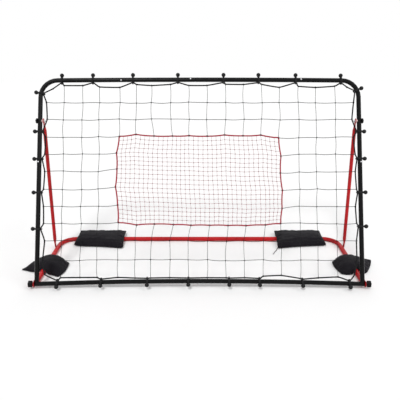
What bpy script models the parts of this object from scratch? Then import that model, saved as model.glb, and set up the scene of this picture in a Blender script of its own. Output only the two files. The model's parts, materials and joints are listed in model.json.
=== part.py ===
"""Soccer rebounder: a leaning tube frame with a roped net, hinged on a low floor frame."""

import math

import bmesh
import bpy
from mathutils import Matrix, Vector

# Driving dimensions, in metres. X is to the player's right, Y goes back, Z is up.
FRAME_HALF_WIDTH = 0.900      # upright centre line from the middle plane
FRAME_LENGTH = 1.144          # bottom bar axis to top bar axis, measured along the uprights
FRAME_LEAN = math.radians(24.0)
FRAME_BEND = 0.095            # centre line radius of the two top corners
TOP_BAR_RISE = 0.005          # the top bar is arched up by this much in the middle
BOTTOM_BAR_RISE = 0.016       # the elastic ties pull the bottom bar up in the middle
FRAME_TUBE = 0.0127           # outer radius of the one inch tube
BASE_TUBE = 0.0140            # outer radius of the floor frame tube
STRUT_TUBE = 0.0105           # outer radius of the struts
WALL = 0.0012                 # wall thickness of every tube
GAP = 0.0003                  # air left between pieces that touch
TUBE_SIDES = 12

PIVOT_HEIGHT = 0.032          # height of the axis through the two front hand knobs
BASE_HALF_WIDTH = 0.920       # floor frame side tube centre line from the middle plane
BASE_DEPTH = 0.630            # front pivot axis to the rear floor tube
BASE_BEND = 0.100             # centre line radius of the two rear corners
BASE_JOINT = 0.660            # where the rear tube plugs into the side tubes
LUG_PLANE = 0.9148            # middle plane of the flattened front end of a side tube
LUG_HALF_HEIGHT = 0.0195
FLAT_HALF_THICKNESS = 0.0017  # a flattened tube end is two walls pressed together

STRUT_PIN = 0.912             # upper strut bolt, measured up the upright
STRUT_FOOT = 0.511            # lower strut pivot behind the front pivot axis
STRUT_TOP_PLANE = 0.8800      # middle plane of the flattened upper end
STRUT_FOOT_PLANE = 0.9380     # middle plane of the flattened lower end
STRUT_END = 0.0135            # the strut runs on this far past each hole
STRUT_HALF_HEIGHT = 0.0150
STUD = 0.0040                 # radius of the M8 studs

SPIGOT = 0.060                # length of a swaged end inside its socket
SWAGE = 0.0025                # length of the cone where a tube is swaged down
TOP_SEAMS = (-0.418, -0.026, 0.599)
BOTTOM_SEAMS = (-0.575, 0.600)
UPRIGHT_SEAM = 0.654
BUTTON = 0.0047               # radius of a spring button
BUTTON_PROUD = 0.0035         # how far a button stands out of its tube
BUTTON_SETBACK = 0.025        # button axis to the end of the socket tube

TIE_TOP = (-0.781, -0.605, -0.378, -0.123, 0.136, 0.334, 0.545, 0.801)
TIE_BOTTOM = (-0.786, -0.544, -0.289, -0.062, 0.163, 0.331, 0.568, 0.828)
TIE_LEFT = (0.852, 0.696, 0.507, 0.304)
TIE_RIGHT = (0.852, 0.698, 0.508, 0.318)
TIE_LEFT_CORNER = math.radians(12.0)
TIE_RIGHT_CORNER = math.radians(24.0)
BOTTOM_TIE_TURN = math.radians(50.0)  # the bottom balls sit in front of their bar
BALL = 0.0100
BALL_REACH = 0.0280           # tube axis to ball centre
CORD_HALF_WIDTH = 0.0042      # the tie's two elastic strands side by side
CORD_HALF_THICKNESS = 0.0020
NECK = 0.0052                 # radius of the tie's neck below its ball
BALL_SIDES = 7

NET_COLUMNS = 17
NET_ROWS = 11
NET_HALF_WIDTH = 0.862
NET_BOTTOM = 0.047
NET_TOP = 1.114
TWINE = 0.0014                # half width of the black net's twine
ROPE = 0.0029                 # radius of the border ropes
ROPE_GAP = 0.0170             # tube axis to rope axis where a tie holds it
TOP_DIPS = (0.013, 0.026, 0.016, 0.016, 0.010, 0.026, 0.025)  # the rope is drawn in between two ties
BOTTOM_DIPS = (0.012, 0.007, 0.004, 0.004, 0.004, 0.018, 0.016)
SIDE_DIPS = (0.013, 0.014, 0.016, 0.028)  # from below
NET_TOP_CORNERS = ((0.832, 1.096), (0.836, 1.106))  # the rope cuts across the round corners, left and right
NET_LOW_CORNER = (0.858, 0.052)
NET_HALF_THICKNESS = 0.0014
TARGET_COLUMNS = (4, 13)      # net columns where the target panel starts and ends
TARGET_ROWS = (3, 8)
TARGET_SPLIT = 2              # target meshes to each black mesh, both ways
TARGET_TWINE = 0.0010
LACING = 0.0014               # half width of the black twine laced round the target

BAG_LENGTH = 0.310            # along the tube it hangs over
BAG_HALF_DEPTH = 0.115        # across the tube
BAG_HEIGHT = 0.062
REAR_BAG_X = 0.668
BAG_DROP = 0.05               # how much lower a rear bag's top is at its long edges, as a share
SIDE_BAG_Y = 0.232
SIDE_BAG_LENGTH = 0.205
SIDE_BAG_HALF_WIDTH = 0.130
SIDE_BAG_X = 0.926
SIDE_BAG_DROP = 0.45          # the side bags drape like a tent over their tubes

RIVET = 0.0030
# Knob radius, head thickness, head's back face and boss from the origin, lobes, points to a lobe.
FRONT_KNOB = (0.0200, 0.0175, 0.0125, 0.0022, 6, 4)
STRUT_KNOB = (0.0150, 0.0095, 0.0132, 0.0132, 5, 4)

# Derived values.
BASE_AXIS = BASE_TUBE * math.cos(math.pi / TUBE_SIDES)  # a facet of the tube lies on the floor
PIN_Y = STRUT_PIN * math.sin(FRAME_LEAN)
PIN_Z = PIVOT_HEIGHT + STRUT_PIN * math.cos(FRAME_LEAN)
STRUT_LENGTH = math.hypot(STRUT_FOOT - PIN_Y, PIN_Z - BASE_AXIS)
STRUT_LEAN = math.atan2(STRUT_FOOT - PIN_Y, PIN_Z - BASE_AXIS)
SIDES = {"left": (-1, TIE_LEFT, TIE_LEFT_CORNER), "right": (1, TIE_RIGHT, TIE_RIGHT_CORNER)}

BLACK_STEEL = ((0.012, 0.012, 0.013), 0.38, 0.0)
RED_STEEL = ((0.42, 0.012, 0.025), 0.35, 0.0)
BLACK_PLASTIC = ((0.018, 0.018, 0.019), 0.50, 0.0)
PALE_PLASTIC = ((0.72, 0.66, 0.66), 0.50, 0.0)
ZINC = ((0.62, 0.62, 0.64), 0.32, 1.0)
DARK_BOLT = ((0.05, 0.05, 0.055), 0.42, 1.0)
BLACK_CORD = ((0.014, 0.014, 0.016), 0.85, 0.0)
RED_CORD = ((0.48, 0.025, 0.06), 0.85, 0.0)
BAG_CLOTH = ((0.020, 0.020, 0.023), 0.90, 0.0)


def clear_scene():
    """Remove every object of the opened scene."""
    for item in list(bpy.data.objects):
        bpy.data.objects.remove(item)


def new_collection(name):
    """Return a new collection linked to the scene."""
    collection = bpy.data.collections.new(name)
    bpy.context.scene.collection.children.link(collection)
    return collection


def new_empty(name, parent=None, location=(0, 0, 0), turn_x=0.0):
    """Return an empty that carries the pieces of one moving group."""
    empty = bpy.data.objects.new(name, None)
    empty.location = location
    empty.rotation_euler = (turn_x, 0, 0)
    empty.parent = parent
    PARTS.objects.link(empty)
    return empty


def finish_material(item, finish):
    """Give a piece its own Principled material."""
    colour, roughness, metallic = finish
    material = bpy.data.materials.new(item.name)
    material.use_nodes = True
    shader = material.node_tree.nodes["Principled BSDF"]
    shader.inputs["Base Color"].default_value = (*colour, 1.0)
    shader.inputs["Roughness"].default_value = roughness
    shader.inputs["Metallic"].default_value = metallic
    item.data.materials.append(material)


def new_piece(name, shape, finish, parent, location=(0, 0, 0), rotation=(0, 0, 0), smooth=True):
    """Make an object of a bmesh or of ready data, as a child of its group."""
    if isinstance(shape, bmesh.types.BMesh):
        data = bpy.data.meshes.new(name)
        shape.to_mesh(data)
        shape.free()
    else:
        data = shape
    item = bpy.data.objects.new(name, data)
    item.location = location
    item.rotation_euler = rotation
    item.parent = parent
    PARTS.objects.link(item)
    if smooth and isinstance(data, bpy.types.Mesh):
        data.shade_smooth()
        data.set_sharp_from_angle(angle=math.radians(35))
    finish_material(item, finish)
    return item


def cutter_cylinder(name, parent, centre, axis, clear, length, sides=8):
    """Return a hidden many-sided bar along a direction; a round pin of the clear radius fits inside it."""
    turn = Vector((0, 0, 1)).rotation_difference(Vector(axis)).to_matrix().to_4x4()
    radius = clear / math.cos(math.pi / sides)
    shape = bmesh.new()
    bmesh.ops.create_cone(shape, cap_ends=True, segments=sides, radius1=radius, radius2=radius,
                          depth=length, matrix=Matrix.Translation(centre) @ turn)
    return hidden_tool(name, shape, parent)


def hidden_tool(name, shape, parent):
    """Make a bmesh into an object that only cuts or joins others."""
    data = bpy.data.meshes.new(name)
    shape.to_mesh(data)
    shape.free()
    tool = bpy.data.objects.new(name, data)
    tool.parent = parent
    tool.hide_render = True
    tool.display_type = "WIRE"
    CUTTERS.objects.link(tool)
    return tool


def boolean(item, tool, operation="DIFFERENCE"):
    """Cut a tool out of a piece, or join it to the piece."""
    step = item.modifiers.new(operation.title(), "BOOLEAN")
    step.operation = operation
    step.object = tool
    step.solver = "EXACT"


def tube_ring(centre, across, up, radius, flat=0.0, half_height=0.0):
    """Return one ring of a tube, from round (flat 0) to pressed flat (flat 1).

    The ring has a facet, and not a corner, at its lowest place.
    """
    ring = []
    for side in range(TUBE_SIDES):
        angle = math.tau * (side + 0.5) / TUBE_SIDES
        wide = math.cos(angle)
        tall = math.sin(angle)
        pressed = max(-1.0, min(1.0, wide / math.cos(math.radians(45.0))))
        offset_across = (1 - flat) * radius * wide + flat * FLAT_HALF_THICKNESS * pressed
        offset_up = (1 - flat) * radius * tall + flat * half_height * tall
        ring.append(Vector(centre) + offset_across * Vector(across) + offset_up * Vector(up))
    return ring


def loft(rings):
    """Skin a row of rings into an open tube whose faces point out."""
    shape = bmesh.new()
    rows = [[shape.verts.new(point) for point in ring] for ring in rings]
    for first, second in zip(rows, rows[1:]):
        for side in range(TUBE_SIDES):
            after = (side + 1) % TUBE_SIDES
            shape.faces.new((first[side], first[after], second[after], second[side]))
    bmesh.ops.recalc_face_normals(shape, faces=shape.faces)
    middle = sum(rings[0], Vector()) / TUBE_SIDES
    sample = rows[0][0].link_faces[0]
    if sample.normal.dot(sample.calc_center_median() - middle) < 0:
        bmesh.ops.reverse_faces(shape, faces=shape.faces)
    return shape


def tube_piece(name, rings, finish, parent):
    """Make a hollow steel tube of the rings, open at both ends."""
    item = new_piece(name, loft(rings), finish, parent)
    wall = item.modifiers.new("Wall", "SOLIDIFY")
    wall.thickness = WALL
    wall.offset = -1.0
    wall.use_even_offset = True
    wall.use_rim = True
    return item


def plane_ring(x, z, outward, radius):
    """Return a ring of a frame tube, given the (x, z) way that faces out of the frame."""
    return tube_ring((x, 0, z), (outward[0], 0, outward[1]), (0, 1, 0), radius)


def top_bar_height(x):
    """Height of the top bar's axis up the frame."""
    return FRAME_LENGTH + TOP_BAR_RISE * (1 - (x / FRAME_HALF_WIDTH) ** 2)


def bottom_bar_height(x):
    """Height of the bottom bar's axis up the frame."""
    return BOTTOM_BAR_RISE * (1 - (x / FRAME_HALF_WIDTH) ** 2)


def bar_ring(x, height, radius):
    """Return a ring of a slightly arched bar."""
    step = 0.001
    slope = math.atan2(height(x + step) - height(x - step), 2 * step)
    way = 1 if height is top_bar_height else -1
    return plane_ring(x, height(x), (-way * math.sin(slope), way * math.cos(slope)), radius)


def bar_rings(start, end, height, radius, pieces):
    """Return the evenly spaced rings of a stretch of bar."""
    places = [start + (end - start) * step / pieces for step in range(pieces + 1)]
    return [bar_ring(x, height, radius) for x in places]


def spigot_rings(seam, way, height):
    """Return the rings of a swaged end that plugs into a socket ending at the seam.

    The rings run along the way that the swaged end points, from the full tube to its tip.
    """
    inner = FRAME_TUBE - WALL - GAP
    return [bar_ring(seam - way * (SWAGE + GAP), height, FRAME_TUBE),
            bar_ring(seam - way * GAP, height, inner),
            bar_ring(seam + way * SPIGOT, height, inner)]


def corner_arc(side):
    """Return the rings of a top corner, from the upright to the bar."""
    centre_x = side * (FRAME_HALF_WIDTH - FRAME_BEND)
    centre_z = top_bar_height(centre_x) - FRAME_BEND
    steps = 7
    rings = []
    for step in range(steps + 1):
        angle = math.pi / 2 * step / steps
        outward = (side * math.cos(angle), math.sin(angle))
        rings.append(plane_ring(centre_x + FRAME_BEND * outward[0], centre_z + FRAME_BEND * outward[1],
                                outward, FRAME_TUBE))
    return rings


def build_top_corner(name, side, seam, swaged):
    """Make a tube that comes up an upright and turns into the top bar."""
    rings = [plane_ring(side * FRAME_HALF_WIDTH, UPRIGHT_SEAM, (side, 0), FRAME_TUBE)]
    rings += corner_arc(side)
    if swaged:
        rings += spigot_rings(seam, -side, top_bar_height)
    else:
        rings += bar_rings(side * 0.65, seam, top_bar_height, FRAME_TUBE, 1)
    item = tube_piece(name, rings, BLACK_STEEL, FRAME)
    hole = cutter_cylinder(name + "_bolt_hole", FRAME, (side * FRAME_HALF_WIDTH, 0, STRUT_PIN),
                           (1, 0, 0), STUD + GAP, 0.04)
    boolean(item, hole)
    return item


def build_bar(name, start, end, pieces):
    """Make a tube of the top bar: swaged at its left end, a socket at its right."""
    rings = spigot_rings(start, -1, top_bar_height)[::-1]
    rings += bar_rings(start + 0.12, end, top_bar_height, FRAME_TUBE, pieces)
    return tube_piece(name, rings, BLACK_STEEL, FRAME)


def build_lower_corner(name, side):
    """Make the lower upright and the stub of the bottom bar that is welded to it."""
    x = side * FRAME_HALF_WIDTH
    inner = FRAME_TUBE - WALL - GAP
    rings = [plane_ring(x, UPRIGHT_SEAM + SPIGOT, (side, 0), inner),
             plane_ring(x, UPRIGHT_SEAM - GAP, (side, 0), inner),
             plane_ring(x, UPRIGHT_SEAM - GAP - SWAGE, (side, 0), FRAME_TUBE),
             plane_ring(x, 0.0, (side, -1), FRAME_TUBE)]
    stub_end = BOTTOM_SEAMS[0] if side < 0 else BOTTOM_SEAMS[1]
    stub = bar_rings(side * 0.84, stub_end, bottom_bar_height, FRAME_TUBE, 1)
    item = tube_piece(name, rings + stub, BLACK_STEEL, FRAME)
    hole = cutter_cylinder(name + "_stud_hole", FRAME, (side * (FRAME_HALF_WIDTH + FRAME_TUBE), 0, 0),
                           (1, 0, 0), STUD + GAP, 0.012)
    boolean(item, hole)
    return item


def build_bottom_bar():
    """Make the middle of the bottom bar, swaged at both ends."""
    left, right = BOTTOM_SEAMS
    rings = spigot_rings(left, -1, bottom_bar_height)[::-1]
    rings += bar_rings(left + 0.18, right - 0.18, bottom_bar_height, FRAME_TUBE, 4)
    rings += spigot_rings(right, 1, bottom_bar_height)
    return tube_piece("bottom_bar_tube", rings, BLACK_STEEL, FRAME)


def turned_mesh(name, profile, steps):
    """Return an object turned about Z from (radius, height) points, listed top to bottom."""
    shape = bmesh.new()
    points = [shape.verts.new((radius, 0, height)) for radius, height in profile]
    for first, second in zip(points, points[1:]):
        shape.edges.new((first, second))
    data = bpy.data.meshes.new(name)
    shape.to_mesh(data)
    shape.free()
    item = bpy.data.objects.new(name, data)
    turn = item.modifiers.new("Turn", "SCREW")
    turn.axis = "Z"
    turn.steps = steps
    turn.render_steps = steps
    turn.use_merge_vertices = True
    turn.merge_threshold = 0.00001
    turn.use_smooth_shade = True
    return item


def turned_piece(name, profile, finish, parent, location, rotation, steps=8):
    """Make a turned piece; its Z axis is its own axis."""
    item = turned_mesh(name, profile, steps)
    item.location = location
    item.rotation_euler = rotation
    item.parent = parent
    PARTS.objects.link(item)
    finish_material(item, finish)
    return item


def build_button(name, sockets, place, outward):
    """Make a spring button and its hole through a socket tube and the swaged end inside it."""
    outward = Vector(outward).normalized()
    top = FRAME_TUBE + BUTTON_PROUD
    profile = [(0, top),
               (0.72 * BUTTON, top - 0.0009),
               (BUTTON, top - 0.0028),
               (BUTTON, 0.0070),
               (0.0061, 0.0070),
               (0.0061, 0.0055),
               (0, 0.0055)]
    turn = Vector((0, 0, 1)).rotation_difference(outward).to_euler()
    turned_piece(name, profile, ZINC, FRAME, place, turn)
    hole = cutter_cylinder(name + "_hole", FRAME, Vector(place) + outward * 0.012, outward,
                           BUTTON + GAP, 0.014)
    for socket in sockets:
        boolean(socket, hole)


def facing(across, degrees):
    """Return a direction that is turned this far from an outward direction towards the front."""
    angle = math.radians(degrees)
    return Vector(across) * math.cos(angle) + Vector((0, -1, 0)) * math.sin(angle)


def build_front_frame():
    """Make the seven tubes of the leaning frame and the buttons that lock them."""
    left_seam, middle_seam, right_seam = TOP_SEAMS
    corner_left = build_top_corner("top_left_corner_tube", -1, left_seam, swaged=False)
    bar_left = build_bar("top_left_bar_tube", left_seam, middle_seam, 1)
    bar_right = build_bar("top_right_bar_tube", middle_seam, right_seam, 2)
    corner_right = build_top_corner("top_right_corner_tube", 1, right_seam, swaged=True)
    lower_left = build_lower_corner("lower_left_corner_tube", -1)
    lower_right = build_lower_corner("lower_right_corner_tube", 1)
    build_bottom_bar()
    up = (0, 0, 1)
    for name, seam, sockets, degrees in (
            ("button_top_left", left_seam, (corner_left, bar_left), 110),
            ("button_top_middle", middle_seam, (bar_left, bar_right), 78),
            ("button_top_right", right_seam, (bar_right, corner_right), 84)):
        x = seam - BUTTON_SETBACK
        build_button(name, sockets, (x, 0, top_bar_height(x)), facing(up, degrees))
    for name, side, sockets in (("button_left_upright", -1, (corner_left, lower_left)),
                                ("button_right_upright", 1, (corner_right, lower_right))):
        place = (side * FRAME_HALF_WIDTH, 0, UPRIGHT_SEAM + BUTTON_SETBACK)
        build_button(name, sockets, place, facing((side, 0, 0), 76))


def floor_ring(x, y, z, heading, flat=0.0, half_height=0.0):
    """Return a ring of a floor tube whose axis runs at a heading in the floor plane."""
    across = (-math.sin(heading), math.cos(heading), 0)
    return tube_ring((x, y, z), across, (0, 0, 1), BASE_TUBE, flat, half_height)


def build_base_side(name, side):
    """Make a floor tube: flattened lug, side run, rear corner and the socket of the rear tube."""
    rings = []
    reach = LUG_HALF_HEIGHT
    for share in (0.97, 0.84, 0.50):
        rings.append(floor_ring(side * LUG_PLANE, -reach * share, PIVOT_HEIGHT, math.pi / 2, 1.0,
                                reach * math.sqrt(1 - share ** 2)))
    for y in (0.0, 0.026):
        rings.append(floor_ring(side * LUG_PLANE, y, PIVOT_HEIGHT, math.pi / 2, 1.0, reach))
    blend_start, blend_end = 0.026, 0.082
    for share in (0.35, 0.7, 1.0):
        ease = share * share * (3 - 2 * share)
        rings.append(floor_ring(side * (LUG_PLANE + (BASE_HALF_WIDTH - LUG_PLANE) * ease),
                                blend_start + (blend_end - blend_start) * share,
                                PIVOT_HEIGHT + (BASE_AXIS - PIVOT_HEIGHT) * ease,
                                math.pi / 2, 1.0 - ease, reach))
    centre = (side * (BASE_HALF_WIDTH - BASE_BEND), BASE_DEPTH - BASE_BEND)
    steps = 5
    for step in range(steps + 1):
        angle = math.pi / 2 * step / steps
        rings.append(floor_ring(centre[0] + side * BASE_BEND * math.cos(angle),
                                centre[1] + BASE_BEND * math.sin(angle),
                                BASE_AXIS, math.pi / 2 + side * angle))
    rings.append(floor_ring(side * BASE_JOINT, BASE_DEPTH, BASE_AXIS, math.pi / 2 + side * math.pi / 2))
    item = tube_piece(name, rings, RED_STEEL, FLOOR)
    lug_hole = cutter_cylinder(name + "_lug_hole", FLOOR, (side * LUG_PLANE, 0, PIVOT_HEIGHT),
                               (1, 0, 0), STUD + GAP, 0.01)
    foot_hole = cutter_cylinder(name + "_foot_hole", FLOOR, (side * BASE_HALF_WIDTH, STRUT_FOOT, BASE_AXIS),
                                (1, 0, 0), RIVET + GAP, 0.04)
    boolean(item, lug_hole)
    boolean(item, foot_hole)
    return item


def build_base_rear():
    """Make the rear floor tube, swaged at both ends."""
    inner = BASE_TUBE - WALL - GAP
    rings = []
    for side in (-1, 1):
        run = [(BASE_JOINT + SPIGOT, inner),
               (BASE_JOINT + GAP, inner),
               (BASE_JOINT - SWAGE - GAP, BASE_TUBE)]
        if side > 0:
            run.reverse()
        for x, radius in run:
            rings.append(tube_ring((side * x, BASE_DEPTH, BASE_AXIS), (0, 1, 0), (0, 0, 1), radius))
    return tube_piece("base_rear_tube", rings, RED_STEEL, FLOOR)


def build_strut(name, side, parent):
    """Make a strut: a tube pressed flat at both ends, each with a hole for its pin.

    The strut stands along Z of its group, whose origin is the lower hole.
    """
    lean_in = STRUT_TOP_PLANE - STRUT_FOOT_PLANE
    press, round_off = 0.022, 0.058
    low = [(-STRUT_END, 1.0, 0.55), (-0.5 * STRUT_END, 1.0, 0.92), (press, 1.0, 1.0)]
    low += [(press + (round_off - press) * share, 1 - share * share * (3 - 2 * share), 1.0)
            for share in (0.5, 1.0)]
    rings = []
    for upper in (False, True):
        row = [(STRUT_LENGTH - z, flat, tall) if upper else (z, flat, tall) for z, flat, tall in low]
        if upper:
            row.reverse()
        for z, flat, tall in row:
            share = max(0.0, min(1.0, (z - press) / (STRUT_LENGTH - 2 * press)))
            x = side * lean_in * share
            rings.append(tube_ring((x, 0, z), (1, 0, 0), (0, 1, 0), STRUT_TUBE, flat,
                                   STRUT_HALF_HEIGHT * tall))
    item = tube_piece(name, rings, RED_STEEL, parent)
    foot = cutter_cylinder(name + "_foot_hole", parent, (0, 0, 0), (1, 0, 0), RIVET + GAP, 0.02)
    top = cutter_cylinder(name + "_top_hole", parent, (side * lean_in, 0, STRUT_LENGTH), (1, 0, 0),
                          STUD + GAP, 0.02)
    boolean(item, foot)
    boolean(item, top)
    return item


def build_foot_rivet(name, side):
    """Make the shouldered rivet that the strut's foot turns on."""
    inside = BASE_HALF_WIDTH - BASE_AXIS - GAP
    outside = BASE_HALF_WIDTH + BASE_AXIS + GAP
    plate_in = STRUT_FOOT_PLANE - FLAT_HALF_THICKNESS - GAP
    plate_out = STRUT_FOOT_PLANE + FLAT_HALF_THICKNESS + GAP
    head, shoulder = 0.0068, 0.0062
    points = [(0, plate_out + 0.0036),
              (0.6 * head, plate_out + 0.0029),
              (head, plate_out + 0.0012),
              (head, plate_out),
              (RIVET, plate_out),
              (RIVET, plate_in),
              (shoulder, plate_in),
              (shoulder, outside),
              (RIVET, outside),
              (RIVET, inside),
              (head, inside),
              (head, inside - 0.0012),
              (0.6 * head, inside - 0.0029),
              (0, inside - 0.0036)]
    profile = [(radius, x - BASE_HALF_WIDTH) for radius, x in points]
    turned_piece(name, profile, DARK_BOLT, FLOOR, (side * BASE_HALF_WIDTH, STRUT_FOOT, BASE_AXIS),
                 (0, side * math.pi / 2, 0))


def lobed_head(radius, thickness, lobes, points_per_lobe, depth):
    """Return a bmesh of a lobed knob head that stands on Z = 0."""
    shape = bmesh.new()
    count = lobes * points_per_lobe
    made = bmesh.ops.create_circle(shape, cap_ends=True, segments=count, radius=radius)
    for number, vert in enumerate(made["verts"]):
        wave = 0.5 - 0.5 * math.cos(math.tau * number / points_per_lobe)
        vert.co *= 1 - depth * (1 - wave ** 0.6)
    lifted = bmesh.ops.extrude_face_region(shape, geom=shape.faces[:])
    top = [item for item in lifted["geom"] if isinstance(item, bmesh.types.BMVert)]
    bmesh.ops.translate(shape, verts=top, vec=(0, 0, thickness))
    bmesh.ops.recalc_face_normals(shape, faces=shape.faces)
    rims = [edge for edge in shape.edges if min(vert.co.z for vert in edge.verts) > 0.5 * thickness]
    bmesh.ops.bevel(shape, geom=rims, offset=0.0018, segments=1, profile=0.5, affect="EDGES",
                    material=-1)
    return shape


def build_knob(name, side, parent, place, size, stud_end):
    """Make a hand knob with its moulded-in stud; the axis is X and its origin is on it."""
    radius, thickness, back, boss_start, lobes, points = size
    head = lobed_head(radius, thickness, lobes, points, 0.16)
    bmesh.ops.translate(head, verts=head.verts, vec=(0, 0, back))
    item = new_piece(name, head, BLACK_PLASTIC, parent, place, (0, side * math.pi / 2, 0))
    if boss_start < back:
        boss = bmesh.new()
        bmesh.ops.create_cone(boss, cap_ends=True, segments=12, radius1=0.0085, radius2=0.0110,
                              depth=back - boss_start + 0.004,
                              matrix=Matrix.Translation((0, 0, (back + boss_start + 0.004) / 2)))
        boolean(item, hidden_tool(name + "_boss", boss, item), "UNION")
    stud = bmesh.new()
    reach = back + 0.005
    bmesh.ops.create_cone(stud, cap_ends=True, segments=10, radius1=STUD, radius2=STUD,
                          depth=reach - stud_end,
                          matrix=Matrix.Translation((0, 0, (reach + stud_end) / 2)))
    boolean(item, hidden_tool(name + "_stud", stud, item), "UNION")
    return item


def build_spacer(name, side):
    """Make the pale saddle washer between an upright and the strut's flattened end."""
    near = STRUT_TOP_PLANE + FLAT_HALF_THICKNESS + 2 * GAP
    far = FRAME_HALF_WIDTH - 0.008
    shape = bmesh.new()
    turn = Matrix.Rotation(math.pi / 2, 4, "Y")
    bmesh.ops.create_cone(shape, cap_ends=True, segments=12, radius1=0.0090, radius2=0.0090,
                          depth=far - near, matrix=turn)
    place = (side * (near + far) / 2, 0, STRUT_PIN)
    item = new_piece(name, shape, PALE_PLASTIC, FRAME, place)
    saddle = cutter_cylinder(name + "_saddle", FRAME, (side * FRAME_HALF_WIDTH, 0, STRUT_PIN), (0, 0, 1),
                             FRAME_TUBE + 2 * GAP, 0.05, sides=24)
    bore = cutter_cylinder(name + "_bore", FRAME, place, (1, 0, 0), STUD + GAP, 0.04)
    boolean(item, saddle)
    boolean(item, bore)


def build_strut_nut(name, side, parent):
    """Make the nut welded on the inner face of the strut's upper end."""
    height = 0.0065
    shape = bmesh.new()
    turn = Matrix.Rotation(math.pi / 2, 4, "Y")
    bmesh.ops.create_cone(shape, cap_ends=True, segments=6, radius1=0.0075, radius2=0.0075,
                          depth=height, matrix=turn)
    inner_face = STRUT_TOP_PLANE - FLAT_HALF_THICKNESS - GAP - height / 2
    place = (side * (inner_face - STRUT_FOOT_PLANE), 0, STRUT_LENGTH)
    item = new_piece(name, shape, ZINC, parent, place, smooth=False)
    boolean(item, cutter_cylinder(name + "_bore", parent, place, (1, 0, 0), STUD, 0.02))


def belt_path(turn_steps=5, rope_steps=1):
    """Return the closed path of a tie's elastic round its tube and the border rope.

    The tube's axis is the origin, the rope lies on -X and the path is in the XY plane.
    """
    rope_hold = math.hypot(ROPE, NET_HALF_THICKNESS) + GAP
    spread = math.acos((FRAME_TUBE - rope_hold) / ROPE_GAP)
    for _ in range(3):
        tube_radius = (FRAME_TUBE + 2 * GAP) / math.cos((math.pi - spread) / turn_steps)
        rope_radius = rope_hold / math.cos(spread / rope_steps)
        spread = math.acos((tube_radius - rope_radius) / ROPE_GAP)
    path = []
    for step in range(turn_steps + 1):
        angle = (math.pi - spread) * (2 * step / turn_steps - 1)
        path.append(Vector((math.cos(angle), math.sin(angle))) * tube_radius)
    for step in range(rope_steps + 1):
        angle = math.pi + spread * (2 * step / rope_steps - 1)
        path.append(Vector((math.cos(angle), math.sin(angle))) * rope_radius - Vector((ROPE_GAP, 0)))
    return path, tube_radius


def offset_loop(points, widths):
    """Move each side of a closed counter-clockwise outline inwards by its own width."""
    moved = []
    count = len(points)
    for index in range(count):
        before = points[index] - points[index - 1]
        after = points[(index + 1) % count] - points[index]
        before.normalize()
        after.normalize()
        normal_before = Vector((-before.y, before.x))
        normal_after = Vector((-after.y, after.x))
        first = widths[index - 1]
        second = widths[index]
        cross = before.x * after.y - before.y * after.x
        if abs(cross) < 0.02:
            moved.append(points[index] + (normal_before * first + normal_after * second) / 2)
            continue
        start = points[index] + normal_before * first
        other = points[index] + normal_after * second
        gap = other - start
        along = (gap.x * after.y - gap.y * after.x) / cross
        moved.append(start + before * along)
    return moved


def tie_mesh(turn):
    """Return the mesh of one ball tie whose ball is turned about the tube from +X.

    It is an elastic belt round the tube and the net's rope, which gathers into a neck and a ball.
    """
    path, tube_radius = belt_path()
    outer = offset_loop(path, [-2 * CORD_HALF_THICKNESS] * len(path))
    tie = bmesh.new()
    low = [tie.verts.new((point.x, point.y, -CORD_HALF_WIDTH)) for point in outer]
    low_inner = [tie.verts.new((point.x, point.y, -CORD_HALF_WIDTH)) for point in path]
    faces = [tie.faces.new((low[i - 1], low[i], low_inner[i], low_inner[i - 1])) for i in range(len(path))]
    lifted = bmesh.ops.extrude_face_region(tie, geom=faces)
    verts = [item for item in lifted["geom"] if isinstance(item, bmesh.types.BMVert)]
    bmesh.ops.translate(tie, verts=verts, vec=(0, 0, 2 * CORD_HALF_WIDTH))
    tie.normal_update()
    outward = Vector((math.cos(turn), math.sin(turn), 0))
    seat = max(tie.faces, key=lambda face: face.calc_center_median().dot(outward))
    seat_edges = seat.edges[:]
    start = seat.calc_center_median().dot(outward) + 0.0008
    bmesh.ops.delete(tie, geom=[seat], context="FACES_ONLY")
    turned = Matrix.Rotation(turn, 4, "Z") @ Matrix.Rotation(math.pi / 2, 4, "Y")
    turned = turned @ Matrix.Rotation(math.pi / BALL_SIDES, 4, "Z")
    entry = math.asin(NECK / BALL)
    made = bmesh.ops.create_circle(tie, segments=BALL_SIDES, radius=NECK,
                                   matrix=turned @ Matrix.Translation((0, 0, start)))
    ring = made["verts"]
    rim = list({edge for vert in ring for edge in vert.link_edges})
    bmesh.ops.bridge_loops(tie, edges=seat_edges + rim)
    for angle in (math.pi - entry, math.radians(102.0), math.radians(50.0)):
        radius = BALL * math.sin(angle)
        height = BALL_REACH + BALL * math.cos(angle)
        drawn = bmesh.ops.extrude_edge_only(tie, edges=rim)["geom"]
        rim = [item for item in drawn if isinstance(item, bmesh.types.BMEdge)
               and item.verts[0] in drawn and item.verts[1] in drawn]
        for vert in [item for item in drawn if isinstance(item, bmesh.types.BMVert)]:
            place = turned.inverted() @ vert.co
            place.xy = place.xy.normalized() * radius
            vert.co = turned @ Vector((place.x, place.y, height))
    last = [vert for vert in tie.verts if vert.co.dot(outward) > BALL_REACH + 0.4 * BALL]
    tip = tie.verts.new(outward * (BALL_REACH + BALL))
    for edge in [edge for edge in tie.edges if edge.verts[0] in last and edge.verts[1] in last]:
        tie.faces.new((*edge.verts, tip))
    bmesh.ops.recalc_face_normals(tie, faces=tie.faces)
    data = bpy.data.meshes.new("tie")
    tie.to_mesh(data)
    tie.free()
    return data


def corner_tie_place(side, angle):
    """Return the point on a top corner's centre line at an angle above the level."""
    centre_x = side * (FRAME_HALF_WIDTH - FRAME_BEND)
    centre_z = top_bar_height(centre_x) - FRAME_BEND
    return (centre_x + side * FRAME_BEND * math.cos(angle), centre_z + FRAME_BEND * math.sin(angle))


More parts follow.
